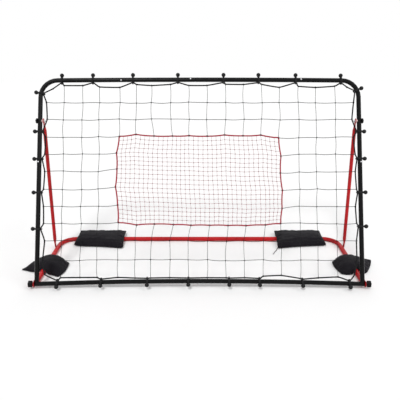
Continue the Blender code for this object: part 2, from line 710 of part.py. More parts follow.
def tie_places():
    """Return (x, z, outward angle, is a bottom tie) for every ball tie, clockwise from the top left."""
    places = [(x, top_bar_height(x), math.pi / 2, False) for x in TIE_TOP]
    right = corner_tie_place(1, TIE_RIGHT_CORNER)
    places.append((*right, TIE_RIGHT_CORNER, False))
    places += [(FRAME_HALF_WIDTH, z, 0.0, False) for z in TIE_RIGHT]
    places += [(x, bottom_bar_height(x), -math.pi / 2, True) for x in reversed(TIE_BOTTOM)]
    places += [(-FRAME_HALF_WIDTH, z, math.pi, False) for z in reversed(TIE_LEFT)]
    left = corner_tie_place(-1, TIE_LEFT_CORNER)
    places.append((*left, math.pi - TIE_LEFT_CORNER, False))
    return places


def build_ties():
    """Make the ball ties that hold the net's rope to the tubes."""
    plain = tie_mesh(0.0)
    turned = tie_mesh(-BOTTOM_TIE_TURN)
    for number, (x, z, angle, bottom) in enumerate(tie_places(), start=1):
        shape = (turned if bottom else plain).copy()
        new_piece(f"ball_tie_{number:02d}", shape, BLACK_PLASTIC, FRAME, (x, 0, z), (0, -angle, 0))


def rope_gap(place, held, dips):
    """Return how far the rope's axis is from the tube's axis at a place along the tube."""
    held = sorted(held)
    for first, second, dip in zip(held, held[1:], dips):
        if first < place < second:
            return ROPE_GAP + dip * math.sqrt(math.sin(math.pi * (place - first) / (second - first)))
    return ROPE_GAP


def border_point(edge, place):
    """Return the rope's axis at a place along one edge of the net."""
    if edge == "top":
        return Vector((place, top_bar_height(place) - rope_gap(place, TIE_TOP, TOP_DIPS)))
    if edge == "bottom":
        return Vector((place, bottom_bar_height(place) + rope_gap(place, TIE_BOTTOM, BOTTOM_DIPS)))
    side, ties, angle = SIDES[edge]
    if place < ties[-1]:
        corner_x, corner_z = NET_LOW_CORNER
        share = (place - corner_z) / (ties[-1] - corner_z)
        return Vector((side * (corner_x + (FRAME_HALF_WIDTH - ROPE_GAP - corner_x) * share), place))
    held = ties + (corner_tie_place(side, angle)[1],)
    return Vector((side * (FRAME_HALF_WIDTH - rope_gap(place, held, SIDE_DIPS)), place))


def held_points(edge):
    """Return the pairs of points between which each tie of an edge holds the rope straight."""
    reach = CORD_HALF_WIDTH + 0.002
    if edge in ("top", "bottom"):
        height, ties, way = ((top_bar_height, TIE_TOP, 1) if edge == "top"
                             else (bottom_bar_height, TIE_BOTTOM, -1))
        return [[Vector((x + step, height(x) - way * ROPE_GAP)) for step in (-reach, reach)] for x in ties]
    side, ties, angle = SIDES[edge]
    x = side * (FRAME_HALF_WIDTH - ROPE_GAP)
    pairs = [[Vector((x, z + step)) for step in (-reach, reach)] for z in ties]
    outward = Vector((side * math.cos(angle), math.sin(angle)))
    along = Vector((-side * math.sin(angle), math.cos(angle)))
    middle = Vector(corner_tie_place(side, angle)) - outward * ROPE_GAP
    return pairs + [[middle + along * step for step in (-reach, reach)]]


def net_node(column, row):
    """Return the place of a knot of the black net."""
    x = NET_HALF_WIDTH * (2 * column / NET_COLUMNS - 1)
    z = NET_BOTTOM + (NET_TOP - NET_BOTTOM) * row / NET_ROWS
    side = -1 if column == 0 else 1
    if column in (0, NET_COLUMNS) and row in (0, NET_ROWS):
        corner_x, corner_z = NET_TOP_CORNERS[column > 0] if row else NET_LOW_CORNER
        return Vector((side * corner_x, corner_z))
    if column in (0, NET_COLUMNS):
        return border_point("left" if side < 0 else "right", z)
    if row == NET_ROWS:
        return border_point("top", x)
    if row == 0:
        return border_point("bottom", x)
    return Vector((x, z))


def rope_between(edge, first, second):
    """Return the points where ties pull the rope between two border knots, in order."""
    axis = 0 if edge in ("top", "bottom") else 1
    low, high = sorted((first[axis], second[axis]))
    points = [point for pair in held_points(edge) for point in pair]
    points = [point for point in points if low + 0.002 < point[axis] < high - 0.002]
    points.sort(key=lambda point: point[axis], reverse=second[axis] < first[axis])
    return points


def border_run(edge):
    """Return the rope's knots along one edge, counter-clockwise round the net."""
    if edge == "bottom":
        return [net_node(column, 0) for column in range(NET_COLUMNS + 1)]
    if edge == "right":
        return [net_node(NET_COLUMNS, row) for row in range(NET_ROWS + 1)]
    if edge == "top":
        return [net_node(column, NET_ROWS) for column in range(NET_COLUMNS, -1, -1)]
    return [net_node(0, row) for row in range(NET_ROWS, -1, -1)]


def flat_outline(name, outlines, half_thickness, finish):
    """Make a flat piece in the net's plane of an outer outline and its holes."""
    data = bpy.data.curves.new(name, "CURVE")
    data.dimensions = "2D"
    data.fill_mode = "BOTH"
    data.extrude = half_thickness
    for outline in outlines:
        spline = data.splines.new("POLY")
        spline.points.add(len(outline) - 1)
        for point, place in zip(spline.points, outline):
            point.co = (place.x, place.y, 0, 1)
        spline.use_cyclic_u = True
    item = bpy.data.objects.new(name, data)
    item.rotation_euler = (math.pi / 2, 0, 0)
    item.parent = FRAME
    PARTS.objects.link(item)
    finish_material(item, finish)
    return item


def build_net():
    """Make the black net with its border rope, as one flat knotted piece with an opening."""
    border = []
    for edge in ("bottom", "right", "top", "left"):
        run = border_run(edge)
        for first, second in zip(run, run[1:]):
            border.append(first)
            border += rope_between(edge, first, second)
    outlines = [offset_loop(border, [-ROPE] * len(border))]
    first_column, last_column = TARGET_COLUMNS
    first_row, last_row = TARGET_ROWS
    beside_target = ROPE + GAP + 2 * LACING
    for column in range(NET_COLUMNS):
        for row in range(NET_ROWS):
            in_columns = first_column <= column < last_column
            in_rows = first_row <= row < last_row
            if in_columns and in_rows:
                continue
            corners = [net_node(column, row), net_node(column + 1, row),
                       net_node(column + 1, row + 1), net_node(column, row + 1)]
            sides = (("bottom", row == 0, in_columns and row == last_row),
                     ("right", column == NET_COLUMNS - 1, in_rows and column + 1 == first_column),
                     ("top", row == NET_ROWS - 1, in_columns and row + 1 == first_row),
                     ("left", column == 0, in_rows and column == last_column))
            points = []
            widths = []
            for index, (edge, on_border, by_target) in enumerate(sides):
                width = ROPE if on_border else beside_target if by_target else TWINE
                pulled = rope_between(edge, corners[index], corners[(index + 1) % 4]) if on_border else []
                points += [corners[index]] + pulled
                widths += [width] * (1 + len(pulled))
            outline = offset_loop(points, widths)
            for corner in target_corners():
                outline = cut_corner(outline, corner, 0.004, 0.007)
            outlines.append(outline)
    outlines.append(offset_loop(target_corners(), [-(ROPE + GAP)] * 4))
    flat_outline("coarse_net", outlines, NET_HALF_THICKNESS, BLACK_CORD)


def cut_corner(outline, corner, near, reach):
    """Cut off the point of an outline that lies near a corner, this far along both its sides."""
    cut = []
    for index, point in enumerate(outline):
        if (point - corner).length < near:
            for other in (outline[index - 1], outline[(index + 1) % len(outline)]):
                cut.append(point + (other - point).normalized() * reach)
        else:
            cut.append(point)
    return cut


def target_corners():
    """Return the four corners of the target panel's rope."""
    (left, right), (low, high) = TARGET_COLUMNS, TARGET_ROWS
    return [net_node(left, low), net_node(right, low), net_node(right, high), net_node(left, high)]


def build_target():
    """Make the red target panel: a finer net inside its own rope."""
    corners = target_corners()
    columns = (TARGET_COLUMNS[1] - TARGET_COLUMNS[0]) * TARGET_SPLIT
    rows = (TARGET_ROWS[1] - TARGET_ROWS[0]) * TARGET_SPLIT
    low, across, up = corners[0], corners[1] - corners[0], corners[3] - corners[0]
    outlines = [offset_loop(corners, [-ROPE] * 4)]
    for column in range(columns):
        for row in range(rows):
            points = [low + across * ((column + dx) / columns) + up * ((row + dy) / rows)
                      for dx, dy in ((0, 0), (1, 0), (1, 1), (0, 1))]
            widths = [ROPE if row == 0 else TARGET_TWINE,
                      ROPE if column == columns - 1 else TARGET_TWINE,
                      ROPE if row == rows - 1 else TARGET_TWINE,
                      ROPE if column == 0 else TARGET_TWINE]
            outlines.append(offset_loop(points, widths))
    flat_outline("target_net", outlines, NET_HALF_THICKNESS, RED_CORD)


def bag_shape(half_length, half_depth, height, drop):
    """Return a bmesh of a sand bag lying over a tube that runs along X.

    It is a rounded slab with a flat foot, and its top falls by a share from the tube to its long edges.
    """
    shape = bmesh.new()
    bmesh.ops.create_uvsphere(shape, u_segments=16, v_segments=6, radius=1.0)
    girth = 0.30
    for vert in shape.verts:
        flat = math.hypot(vert.co.x, vert.co.y)
        turn = math.atan2(vert.co.y, vert.co.x)
        square = (abs(math.cos(turn)) ** 5 + abs(math.sin(turn)) ** 5) ** -0.2
        reach = flat ** 0.55 * square
        across = reach * math.sin(turn)
        if vert.co.z > 0:
            lift = girth + (1 - girth) * vert.co.z ** 0.8 * (1 - drop * across ** 2)
        else:
            lift = max(0.0, girth * (1 + 1.5 * vert.co.z))
        vert.co = (half_length * reach * math.cos(turn), half_depth * across, height * lift)
    return shape


def build_bag(name, place, half_length, half_depth, quarter_turn):
    """Make a sand bag that straddles a floor tube."""
    rotation = (0, 0, math.pi / 2 if quarter_turn else 0.0)
    drop = SIDE_BAG_DROP if quarter_turn else BAG_DROP
    shape = bag_shape(half_length, half_depth, BAG_HEIGHT, drop)
    item = new_piece(name, shape, BAG_CLOTH, FLOOR, place, rotation)
    clear = BASE_TUBE + 2 * GAP
    shift = Vector((0, 0, BASE_AXIS))
    if quarter_turn:
        shift.y = place[0] - math.copysign(BASE_HALF_WIDTH, place[0])
    axis = cutter_cylinder(name + "_tube", item, shift, (1, 0, 0), clear, 0.6, sides=24)
    slot = bmesh.new()
    size = Matrix.Diagonal((0.6, 2 * clear * 0.98, 2 * BASE_AXIS, 1.0))
    bmesh.ops.create_cube(slot, size=1.0, matrix=Matrix.Translation((0, shift.y, 0)) @ size)
    boolean(item, axis)
    boolean(item, hidden_tool(name + "_slot", slot, item))
    return item


def build_bags():
    """Make the four sand bags."""
    build_bag("weight_bag_rear_left", (-REAR_BAG_X, BASE_DEPTH, 0), BAG_LENGTH / 2, BAG_HALF_DEPTH, False)
    build_bag("weight_bag_rear_right", (REAR_BAG_X, BASE_DEPTH, 0), BAG_LENGTH / 2, BAG_HALF_DEPTH, False)
    build_bag("weight_bag_side_left", (-SIDE_BAG_X, SIDE_BAG_Y, 0), SIDE_BAG_LENGTH / 2, SIDE_BAG_HALF_WIDTH,
              True)
    build_bag("weight_bag_side_right", (SIDE_BAG_X, SIDE_BAG_Y, 0), SIDE_BAG_LENGTH / 2, SIDE_BAG_HALF_WIDTH,
              True)


def build_floor_frame():
    """Make the floor frame, the struts on their rivets and the front hand knobs."""
    for side, word in ((-1, "left"), (1, "right")):
        build_base_side(f"base_{word}_tube", side)
        build_foot_rivet(f"{word}_foot_rivet", side)
        group = new_empty(f"{word}_strut_group", FLOOR, (side * STRUT_FOOT_PLANE, STRUT_FOOT, BASE_AXIS),
                          STRUT_LEAN)
        build_strut(f"{word}_strut", side, group)
        build_strut_nut(f"{word}_strut_nut", side, group)
        build_knob(f"{word}_front_knob", side, FLOOR, (side * LUG_PLANE, 0, PIVOT_HEIGHT), FRONT_KNOB,
                   -0.026)
        build_knob(f"{word}_strut_knob", side, FRAME, (side * FRAME_HALF_WIDTH, 0, STRUT_PIN), STRUT_KNOB,
                   STRUT_TOP_PLANE + FLAT_HALF_THICKNESS + 2 * GAP - FRAME_HALF_WIDTH)
        build_spacer(f"{word}_strut_spacer", side)
    build_base_rear()


def centre_on_footprint():
    """Slide the whole assembly so that the origin is under the middle of its box."""
    bpy.context.view_layer.update()
    graph = bpy.context.evaluated_depsgraph_get()
    depths = []
    for item in PARTS.objects:
        if item.type == "EMPTY":
            continue
        solid = item.evaluated_get(graph)
        mesh = solid.to_mesh()
        depths += [(item.matrix_world @ vert.co).y for vert in mesh.vertices]
        solid.to_mesh_clear()
    FLOOR.location.y = -round((min(depths) + max(depths)) / 2, 4)
    print("front pivot axis at y =", round(FLOOR.location.y, 6))


clear_scene()
PARTS = new_collection("soccer_rebounder")
CUTTERS = new_collection("cutters")
FLOOR = new_empty("floor_frame")
FRAME = new_empty("front_frame", FLOOR, (0, 0, PIVOT_HEIGHT), -FRAME_LEAN)
build_front_frame()
build_floor_frame()
build_ties()
build_net()
build_target()
build_bags()
centre_on_footprint()
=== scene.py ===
import json
import logging
import math
import random
from dataclasses import dataclass
from enum import Enum, auto
from functools import lru_cache
from typing import Optional, Sequence

import bmesh
import bpy
from mathutils import Matrix, Vector, kdtree, noise


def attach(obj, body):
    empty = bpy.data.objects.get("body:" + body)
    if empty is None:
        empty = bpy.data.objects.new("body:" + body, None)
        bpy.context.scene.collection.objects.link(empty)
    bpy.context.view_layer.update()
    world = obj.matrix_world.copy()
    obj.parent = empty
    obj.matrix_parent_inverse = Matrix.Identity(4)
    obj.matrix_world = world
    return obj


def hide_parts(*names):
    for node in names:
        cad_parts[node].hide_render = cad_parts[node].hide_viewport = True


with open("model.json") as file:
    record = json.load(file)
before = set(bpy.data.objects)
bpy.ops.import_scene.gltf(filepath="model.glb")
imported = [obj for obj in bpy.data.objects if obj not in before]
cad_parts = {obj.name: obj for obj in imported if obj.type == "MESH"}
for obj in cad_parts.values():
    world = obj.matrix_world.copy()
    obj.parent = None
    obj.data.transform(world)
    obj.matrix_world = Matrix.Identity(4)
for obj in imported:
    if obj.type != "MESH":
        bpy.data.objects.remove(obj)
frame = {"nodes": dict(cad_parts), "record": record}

LOG = logging.getLogger("rebounder")
Mesh = bmesh.types.BMesh
Piece = bpy.types.Object
Material = bpy.types.Material
Socket = bpy.types.NodeSocket


@dataclass(frozen=True)
class LeaningPlane:
    """The plane of the leaning frame: x across, t up the uprights and n behind it."""

    pivot_y: float = -0.3547
    pivot_z: float = 0.032
    lean: float = math.radians(24.0)

    def matrix(self) -> Matrix:
        """Give the plane's own frame.

        Returns:
            A matrix that takes (x, t, n) to the row frame.
        """
        up = Vector((0, math.sin(self.lean), math.cos(self.lean)))
        behind = Vector((0, math.cos(self.lean), -math.sin(self.lean)))
        turn = Matrix((Vector((1, 0, 0)), up, behind)).transposed().to_4x4()
        return Matrix.Translation((0, self.pivot_y, self.pivot_z)) @ turn

    def point(self, x: float, t: float, n: float = 0.0) -> Vector:
        """Give a point of the plane, or n behind it, in the row frame."""
        return self.matrix() @ Vector((x, t, n))


PLANE = LeaningPlane()


class Edge(Enum):
    """The four edges of the net, counter-clockwise."""

    BOTTOM = auto()
    RIGHT = auto()
    TOP = auto()
    LEFT = auto()


@dataclass(frozen=True)
class TubeFrame:
    """Sizes of the leaning tube frame that the net hangs in."""

    half_width: float = 0.900
    length: float = 1.144
    top_rise: float = 0.005
    bottom_rise: float = 0.016
    bend: float = 0.095
    tube: float = 0.0127
    rope_gap: float = 0.0170
    ties_top: tuple = (-0.781, -0.605, -0.378, -0.123, 0.136, 0.334, 0.545, 0.801)
    ties_bottom: tuple = (-0.786, -0.544, -0.289, -0.062, 0.163, 0.331, 0.568, 0.828)
    ties_left: tuple = (0.852, 0.696, 0.507, 0.304)
    ties_right: tuple = (0.852, 0.698, 0.508, 0.318)
    corner_left: float = math.radians(12.0)
    corner_right: float = math.radians(24.0)

    def top(self, x: float) -> float:
        """Height of the top bar's axis."""
        return self.length + self.top_rise * (1 - (x / self.half_width) ** 2)

    def bottom(self, x: float) -> float:
        """Height of the bottom bar's axis."""
        return self.bottom_rise * (1 - (x / self.half_width) ** 2)

    def corner_point(self, side: int, angle: float) -> Vector:
        """Give a point on a top corner's centre line.

        Args:
            side: -1 for the left corner and 1 for the right one.
            angle: angle above the level, in radians.

        Returns:
            The point as (x, t).
        """
        inset = self.half_width - self.bend
        centre = Vector((side * inset, self.top(inset) - self.bend))
        return centre + self.bend * Vector((side * math.cos(angle), math.sin(angle)))

    def tie_places(self) -> list:
        """List the ball ties, clockwise from the top left.

        Returns:
            (x, t, outward angle, is at the bottom) for each tie.
        """
        places = [(x, self.top(x), math.pi / 2, False) for x in self.ties_top]
        places.append((*self.corner_point(1, self.corner_right), self.corner_right, False))
        places += [(self.half_width, t, 0.0, False) for t in self.ties_right]
        places += [(x, self.bottom(x), -math.pi / 2, True) for x in reversed(self.ties_bottom)]
        places += [(-self.half_width, t, math.pi, False) for t in reversed(self.ties_left)]
        places.append((*self.corner_point(-1, self.corner_left), math.pi - self.corner_left, False))
        return places


TUBES = TubeFrame()


class Bench:
    """Adds and links the shader nodes of one material or world."""

    def __init__(self, owner: bpy.types.ID) -> None:
        """Open the nodes of a new material or world."""
        owner.use_nodes = True
        self.owner, self.tree, self.normal = owner, owner.node_tree, None

    def feed(self, node: bpy.types.Node, inputs: dict) -> None:
        """Link or set some inputs of a node.

        Args:
            node: the node.
            inputs: a socket or a plain value for each input, by name or number.
        """
        for key, value in inputs.items():
            if isinstance(value, Socket):
                self.tree.links.new(value, node.inputs[key])
            else:
                node.inputs[key].default_value = value

    def add(self, kind: str, inputs: Optional[dict] = None, **settings: object) -> bpy.types.Node:
        """Add a node.

        Args:
            kind: the node's type.
            inputs: what its inputs are fed with.
            settings: its properties, by name.

        Returns:
            The new node.
        """
        node = self.tree.nodes.new(kind)
        for key, value in settings.items():
            setattr(node, key, value)
        self.feed(node, inputs or {})
        return node

    def noise(self, scale: float, detail: float = 3.0, stretch: Optional[tuple] = None) -> Socket:
        """Add a noise in object coordinates.

        Args:
            scale: how many waves fit in a metre.
            detail: how many finer layers it has.
            stretch: scale of each axis before the noise.

        Returns:
            The noise's value.
        """
        place = self.add("ShaderNodeTexCoord").outputs["Object"]
        if stretch:
            place = self.add("ShaderNodeMapping", {"Vector": place, "Scale": stretch}).outputs["Vector"]
        inputs = {"Vector": place, "Scale": scale, "Detail": detail}
        return self.add("ShaderNodeTexNoise", inputs).outputs["Fac"]

    def spread(self, value: Socket, low: float = 0.0, high: float = 1.0,
               start: float = 0.3, end: float = 0.7) -> Socket:
        """Spread a value from the range start to end over the range low to high, and no further."""
        return self.add("ShaderNodeMapRange", {"Value": value, "From Min": start, "From Max": end,
                                               "To Min": low, "To Max": high}).outputs["Result"]

    def blend(self, factor: Socket, tone: tuple, dark: float, light: float) -> Socket:
        """Blend two shades of one colour.

        Args:
            factor: 0 gives the dark shade and 1 the light one.
            tone: the colour as linear red, green and blue.
            dark: what the dark shade multiplies it by.
            light: what the light shade multiplies it by.

        Returns:
            The colour.
        """
        node = self.add("ShaderNodeValToRGB", {"Fac": factor})
        for element, share in zip(node.color_ramp.elements, (dark, light)):
            element.color = (*(min(1.0, part * share) for part in tone), 1)
        return node.outputs["Color"]

    def over(self, factor: Socket, under: Socket, top: Sequence[float]) -> Socket:
        """Lay a plain colour over a coloured socket."""
        return self.add("ShaderNodeMix", {0: factor, 6: under, 7: (*top, 1)}, data_type="RGBA").outputs[2]

    def maths(self, kind: str, *values: object) -> Socket:
        """Work out an operation on sockets or numbers."""
        return self.add("ShaderNodeMath", dict(enumerate(values)), operation=kind).outputs[0]

    def dot(self, first: Socket, second: object) -> Socket:
        """Multiply two vectors into a number."""
        node = self.add("ShaderNodeVectorMath", {0: first, 1: second}, operation="DOT_PRODUCT")
        return node.outputs["Value"]

    def waves(self, source: str, way: tuple) -> Socket:
        """Add waves from -1 to 1 over the UV map or the object, so many for each unit of each axis."""
        place = self.add("ShaderNodeTexCoord").outputs[source]
        return self.maths("SINE", self.dot(place, tuple(2 * math.pi * part for part in way)))

    def edges(self, radius: float) -> Socket:
        """Find a piece's edges.

        Args:
            radius: how wide an edge is, in metres.

        Returns:
            0 on flat faces and up to 1 on sharp edges.
        """
        bevel = self.add("ShaderNodeBevel", {"Radius": radius}, samples=4).outputs["Normal"]
        here = self.add("ShaderNodeNewGeometry").outputs["Normal"]
        return self.spread(self.dot(bevel, here), 1.0, 0.0, start=0.86, end=0.985)

    def bump(self, height: Socket, strength: float, distance: float) -> None:
        """Bump the shader, over a bump that is there already.

        Args:
            height: the height, from 0 to 1.
            strength: how strong it is.
            distance: the height of 1, in metres.
        """
        node = self.add("ShaderNodeBump", {"Strength": strength, "Distance": distance, "Height": height})
        if self.normal is not None:
            self.feed(node, {"Normal": self.normal})
        self.normal = node.outputs["Normal"]

    def done(self, **inputs: object) -> Material:
        """Feed the Principled shader and give the finished material.

        Args:
            inputs: a socket or a plain value for each input, with _ for a space in its name.

        Returns:
            The material.
        """
        shader = self.tree.nodes["Principled BSDF"]
        self.feed(shader, {key.replace("_", " "): value for key, value in inputs.items()})
        if self.normal is not None:
            self.feed(shader, {"Normal": self.normal})
        return self.owner


def faded(tone: tuple, share: float, white: float) -> tuple:
    """Mix a share of a colour with a little white."""
    return tuple(share * part + white for part in tone)


@dataclass(frozen=True)
class PowderCoat:
    """Baked paint on steel tube: orange peel, dust in the hollows and rubbed edges."""

    name: str
    tone: tuple
    worn: tuple
    roughness: float
    gloss: float

    def lay(self, bench: Bench) -> Material:
        """Lay the finish on a bench and give its material.

        Args:
            bench: a new material's nodes.

        Returns:
            The material.
        """
        colour = bench.blend(bench.spread(bench.noise(5.0, 4.0)), self.tone, 0.82, 1.25)
        patches = bench.spread(bench.noise(70.0, 5.0), start=0.5, end=0.62)
        rubbed = bench.maths("MULTIPLY", bench.edges(0.0012), patches)
        rough = bench.spread(bench.noise(38.0, 5.0), self.roughness - 0.07, self.roughness + 0.10)
        bench.bump(bench.noise(420.0, 2.0), 0.22, 0.0004)
        return bench.done(Base_Color=bench.over(rubbed, colour, self.worn), Roughness=rough,
                          Specular_IOR_Level=self.gloss)


@dataclass(frozen=True)
class MouldedPlastic:
    """Injection moulded plastic with a fine spark grain and a little scuffing."""

    name: str
    tone: tuple
    roughness: float
    grain: float = 1400.0
    gloss: float = 0.16

    def lay(self, bench: Bench) -> Material:
        """Lay the finish on a bench and give its material.

        Args:
            bench: a new material's nodes.

        Returns:
            The material.
        """
        colour = bench.blend(bench.spread(bench.noise(60.0, 4.0)), self.tone, 0.86, 1.3)
        patches = bench.spread(bench.noise(240.0, 4.0), 0.0, 0.7, 0.48, 0.6)
        scuffed = bench.maths("MULTIPLY", bench.edges(0.0008), patches)
        rough = bench.spread(bench.noise(150.0, 3.0), self.roughness - 0.06, self.roughness + 0.08)
        bench.bump(bench.noise(self.grain, 2.0), 0.25, 0.0002)
        pale = faded(self.tone, 0.6, 0.08)
        return bench.done(Base_Color=bench.over(scuffed, colour, pale), Roughness=rough,
                          Specular_IOR_Level=self.gloss)


@dataclass(frozen=True)
class PlatedMetal:
    """Plated or blackened steel with turning marks and dull spots."""

    name: str
    tone: tuple
    roughness: float

    def lay(self, bench: Bench) -> Material:
        """Lay the finish on a bench and give its material.

        Args:
            bench: a new material's nodes.

        Returns:
            The material.
        """
        colour = bench.blend(bench.spread(bench.noise(180.0, 5.0)), self.tone, 0.72, 1.1)
        rough = bench.spread(bench.noise(90.0, 4.0), self.roughness - 0.08, self.roughness + 0.16)
        bench.bump(bench.noise(900.0, 2.0, (1.0, 1.0, 6.0)), 0.18, 0.0002)
        return bench.done(Base_Color=colour, Roughness=rough, Metallic=1.0)


@dataclass(frozen=True)
class LaidTwine:
    """Twine or rope of strands laid round each other, with fuzz and painted shade in the grooves between
    strands; it needs a swept UV map.
    """

    name: str
    tone: tuple
    strands: int
    pitch: float
    depth: float

    def lay(self, bench: Bench) -> Material:
        """Lay the finish on a bench and give its material.

        Args:
            bench: a new material's nodes.

        Returns:
            The material.
        """
        ridge = bench.spread(bench.waves("UV", (self.strands, 1 / self.pitch, 0)), start=-1.0, end=1.0)
        fuzz = bench.noise(2600.0, 3.0)
        dirt = bench.spread(bench.noise(9.0, 4.0), 0.0, 0.35)
        # Painted shade and highlight: the colour follows the strand ridges, darker in the grooves and lighter
        # on the crowns; the paler patches are dirt.
        colour = bench.over(dirt, bench.blend(ridge, self.tone, 0.55, 1.35), faded(self.tone, 0.85, 0.008))
        bench.bump(ridge, 0.8, self.depth)
        bench.bump(fuzz, 0.3, self.depth * 0.4)
        return bench.done(Base_Color=colour, Roughness=bench.spread(fuzz, 0.72, 0.95), Sheen_Weight=0.04,
                          Sheen_Roughness=0.5, Specular_IOR_Level=0.12)


@dataclass(frozen=True)
class BraidedElastic:
    """The braided sheath of an elastic cord: two families of ribs that cross, with painted shade between the
    ribs.
    """

    name: str
    tone: tuple
    pitch: float

    def lay(self, bench: Bench) -> Material:
        """Lay the finish on a bench and give its material.

        Args:
            bench: a new material's nodes.

        Returns:
            The material.
        """
        one, other = (bench.waves("UV", (strands, 1 / self.pitch, 0)) for strands in (4, -4))
        rib = bench.spread(bench.maths("MAXIMUM", one, other), start=-0.4, end=1.0)
        bench.bump(rib, 0.7, 0.0003)
        # Painted shade and highlight: the colour follows the ribs, darker between them and lighter on them.
        return bench.done(Base_Color=bench.blend(rib, self.tone, 0.5, 1.6),
                          Roughness=bench.spread(bench.noise(1500.0, 2.0), 0.6, 0.85),
                          Sheen_Weight=0.04, Specular_IOR_Level=0.15)


@dataclass(frozen=True)
class WovenNylon:
    """Coated bag cloth: a plain weave with slubs and painted shade between its threads, dust in the folds and
    a soft sheen.
    """

    name: str
    tone: tuple
    thread: float = 0.0009

    def lay(self, bench: Bench) -> Material:
        """Lay the finish on a bench and give its material.

        Args:
            bench: a new material's nodes.

        Returns:
            The material.
        """
        warp = bench.waves("Object", (1 / self.thread, 0.12 / self.thread, 0.3 / self.thread))
        weft = bench.waves("Object", (-0.12 / self.thread, 1 / self.thread, 0.4 / self.thread))
        weave = bench.spread(bench.maths("MULTIPLY", warp, weft), start=-1.0, end=1.0)
        slub = bench.spread(bench.noise(190.0, 4.0, (1.0, 7.0, 1.0)))
        dust = bench.spread(bench.noise(13.0, 5.0), 0.0, 0.5, 0.45, 0.75)
        # Partly painted shade: the colour is darker where the weave dips between threads; the slubs add the
        # thread's own uneven tone.
        colour = bench.blend(bench.maths("MULTIPLY", weave, slub), self.tone, 0.7, 1.7)
        bench.bump(weave, 0.45, 0.0002)
        bench.bump(bench.noise(26.0, 4.0, (1.0, 1.6, 1.0)), 0.6, 0.006)
        return bench.done(Base_Color=bench.over(dust, colour, faded(self.tone, 0.8, 0.010)),
                          Roughness=bench.spread(slub, 0.56, 0.78), Sheen_Weight=0.02, Sheen_Roughness=0.45,
                          Specular_IOR_Level=0.06)


@dataclass(frozen=True)
class SewnHem:
    """A bag's folded and stitched edge: ribs across it with painted shade between them, and a line of pale
    thread dashes.
    """

    name: str
    tone: tuple
    rib: float = 0.0011
    stitch: float = 0.0045

    def lay(self, bench: Bench) -> Material:
        """Lay the finish on a bench and give its material.

        Args:
            bench: a new material's nodes.

        Returns:
            The material.
        """
        rib = bench.spread(bench.waves("UV", (0, 1 / self.rib, 0)), start=-1.0, end=1.0)
        dash = bench.spread(bench.waves("UV", (0, 1 / self.stitch, 0)), start=-0.2, end=0.1)
        line = bench.spread(bench.waves("UV", (2, 0, 0)), start=0.93, end=0.98)
        thread = bench.maths("MULTIPLY", dash, line)
        # Painted shade: the colour is darker between the ribs; the pale dashes are the thread's own colour.
        colour = bench.over(thread, bench.blend(rib, self.tone, 0.6, 1.4), (0.030, 0.030, 0.034))
        bench.bump(rib, 0.4, 0.0002)
        bench.bump(thread, 0.6, 0.0004)
        return bench.done(Base_Color=colour, Roughness=bench.spread(bench.noise(600.0, 2.0), 0.62, 0.85),
                          Specular_IOR_Level=0.18)


class Slot(Enum):
    """The record's material slots, each with its finish."""

    BLACK_STEEL = PowderCoat("black_steel", (0.0034, 0.0034, 0.0037), (0.04, 0.04, 0.042), 0.22, 0.11)
    RED_STEEL = PowderCoat("red_steel", (0.42, 0.010, 0.013), (0.30, 0.14, 0.14), 0.28, 0.14)
    BLACK_PLASTIC = MouldedPlastic("black_plastic", (0.0050, 0.0050, 0.0055), 0.42, gloss=0.10)
    BALL_PLASTIC = MouldedPlastic("ball_plastic", (0.007, 0.007, 0.0075), 0.38, 1900.0)
    PALE_PLASTIC = MouldedPlastic("pale_plastic", (0.66, 0.50, 0.48), 0.52)
    ZINC = PlatedMetal("zinc", (0.62, 0.62, 0.64), 0.32)
    DARK_BOLT = PlatedMetal("dark_bolt", (0.06, 0.06, 0.065), 0.42)
    BLACK_CORD = LaidTwine("black_cord", (0.008, 0.008, 0.009), 3, 0.0075, 0.0005)
    RED_CORD = LaidTwine("red_cord", (0.36, 0.010, 0.030), 3, 0.0075, 0.0005)
    BAG_CLOTH = WovenNylon("bag_cloth", (0.0098, 0.0086, 0.0114))


@lru_cache(maxsize=None)
def material_of(finish: object) -> Material:
    """Give a finish's material, made on its first use."""
    return finish.lay(Bench(bpy.data.materials.new(finish.name)))


def put_up(name: str, data: bpy.types.ID) -> Piece:
    """Put a new object in the scene.

    Args:
        name: its name.
        data: its mesh, camera or light.

    Returns:
        The object.
    """
    item = bpy.data.objects.new(name, data)
    bpy.context.scene.collection.objects.link(item)
    return item


def mesh_data(name: str, shape: Mesh) -> bpy.types.Mesh:
    """Write a shape to mesh data.

    Args:
        name: the data's name.
        shape: the shape, which is freed.

    Returns:
        The data.
    """
    data = bpy.data.meshes.new(name)
    shape.to_mesh(data)
    shape.free()
    return data


def gather(target: Mesh, part: Mesh, finish: int = 0) -> None:
    """Move a part's faces into a larger mesh.

    Args:
        target: the mesh that grows.
        part: the part, which is freed.
        finish: the material index of its faces.
    """
    for face in part.faces:
        face.material_index = finish
    data = mesh_data("part", part)
    target.from_mesh(data)
    bpy.data.meshes.remove(data)


def publish(name: str, shape: Mesh, body: str, slot: Slot, node: str = "", finishes: Sequence = ()) -> Piece:
    """Make a finished piece out of a mesh.

    Args:
        name: the piece's name.
        shape: its mesh, which is freed.
        body: the CAD body that it rides on.
        slot: the record's slot that it takes its finish from.
        node: the CAD node that it stands for, if any.
        finishes: its finishes by the mesh's material indices, where they aren't the slot's alone.

    Returns:
        The piece.
    """
    data = mesh_data(name, shape)
    data.shade_smooth()
    item = put_up(name, data)
    for finish in finishes or [slot.value]:
        data.materials.append(material_of(finish))
    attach(item, body)
    if node:
        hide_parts(node)
    LOG.info("%s: %d faces on %s", name, len(data.polygons), body)
    return item


def around(angle: float, radius: float, z: float, middle: float = 0.0) -> Vector:
    """Give a point on a level circle with its middle on the X axis."""
    return Vector((math.cos(angle) * radius + middle, math.sin(angle) * radius, z))


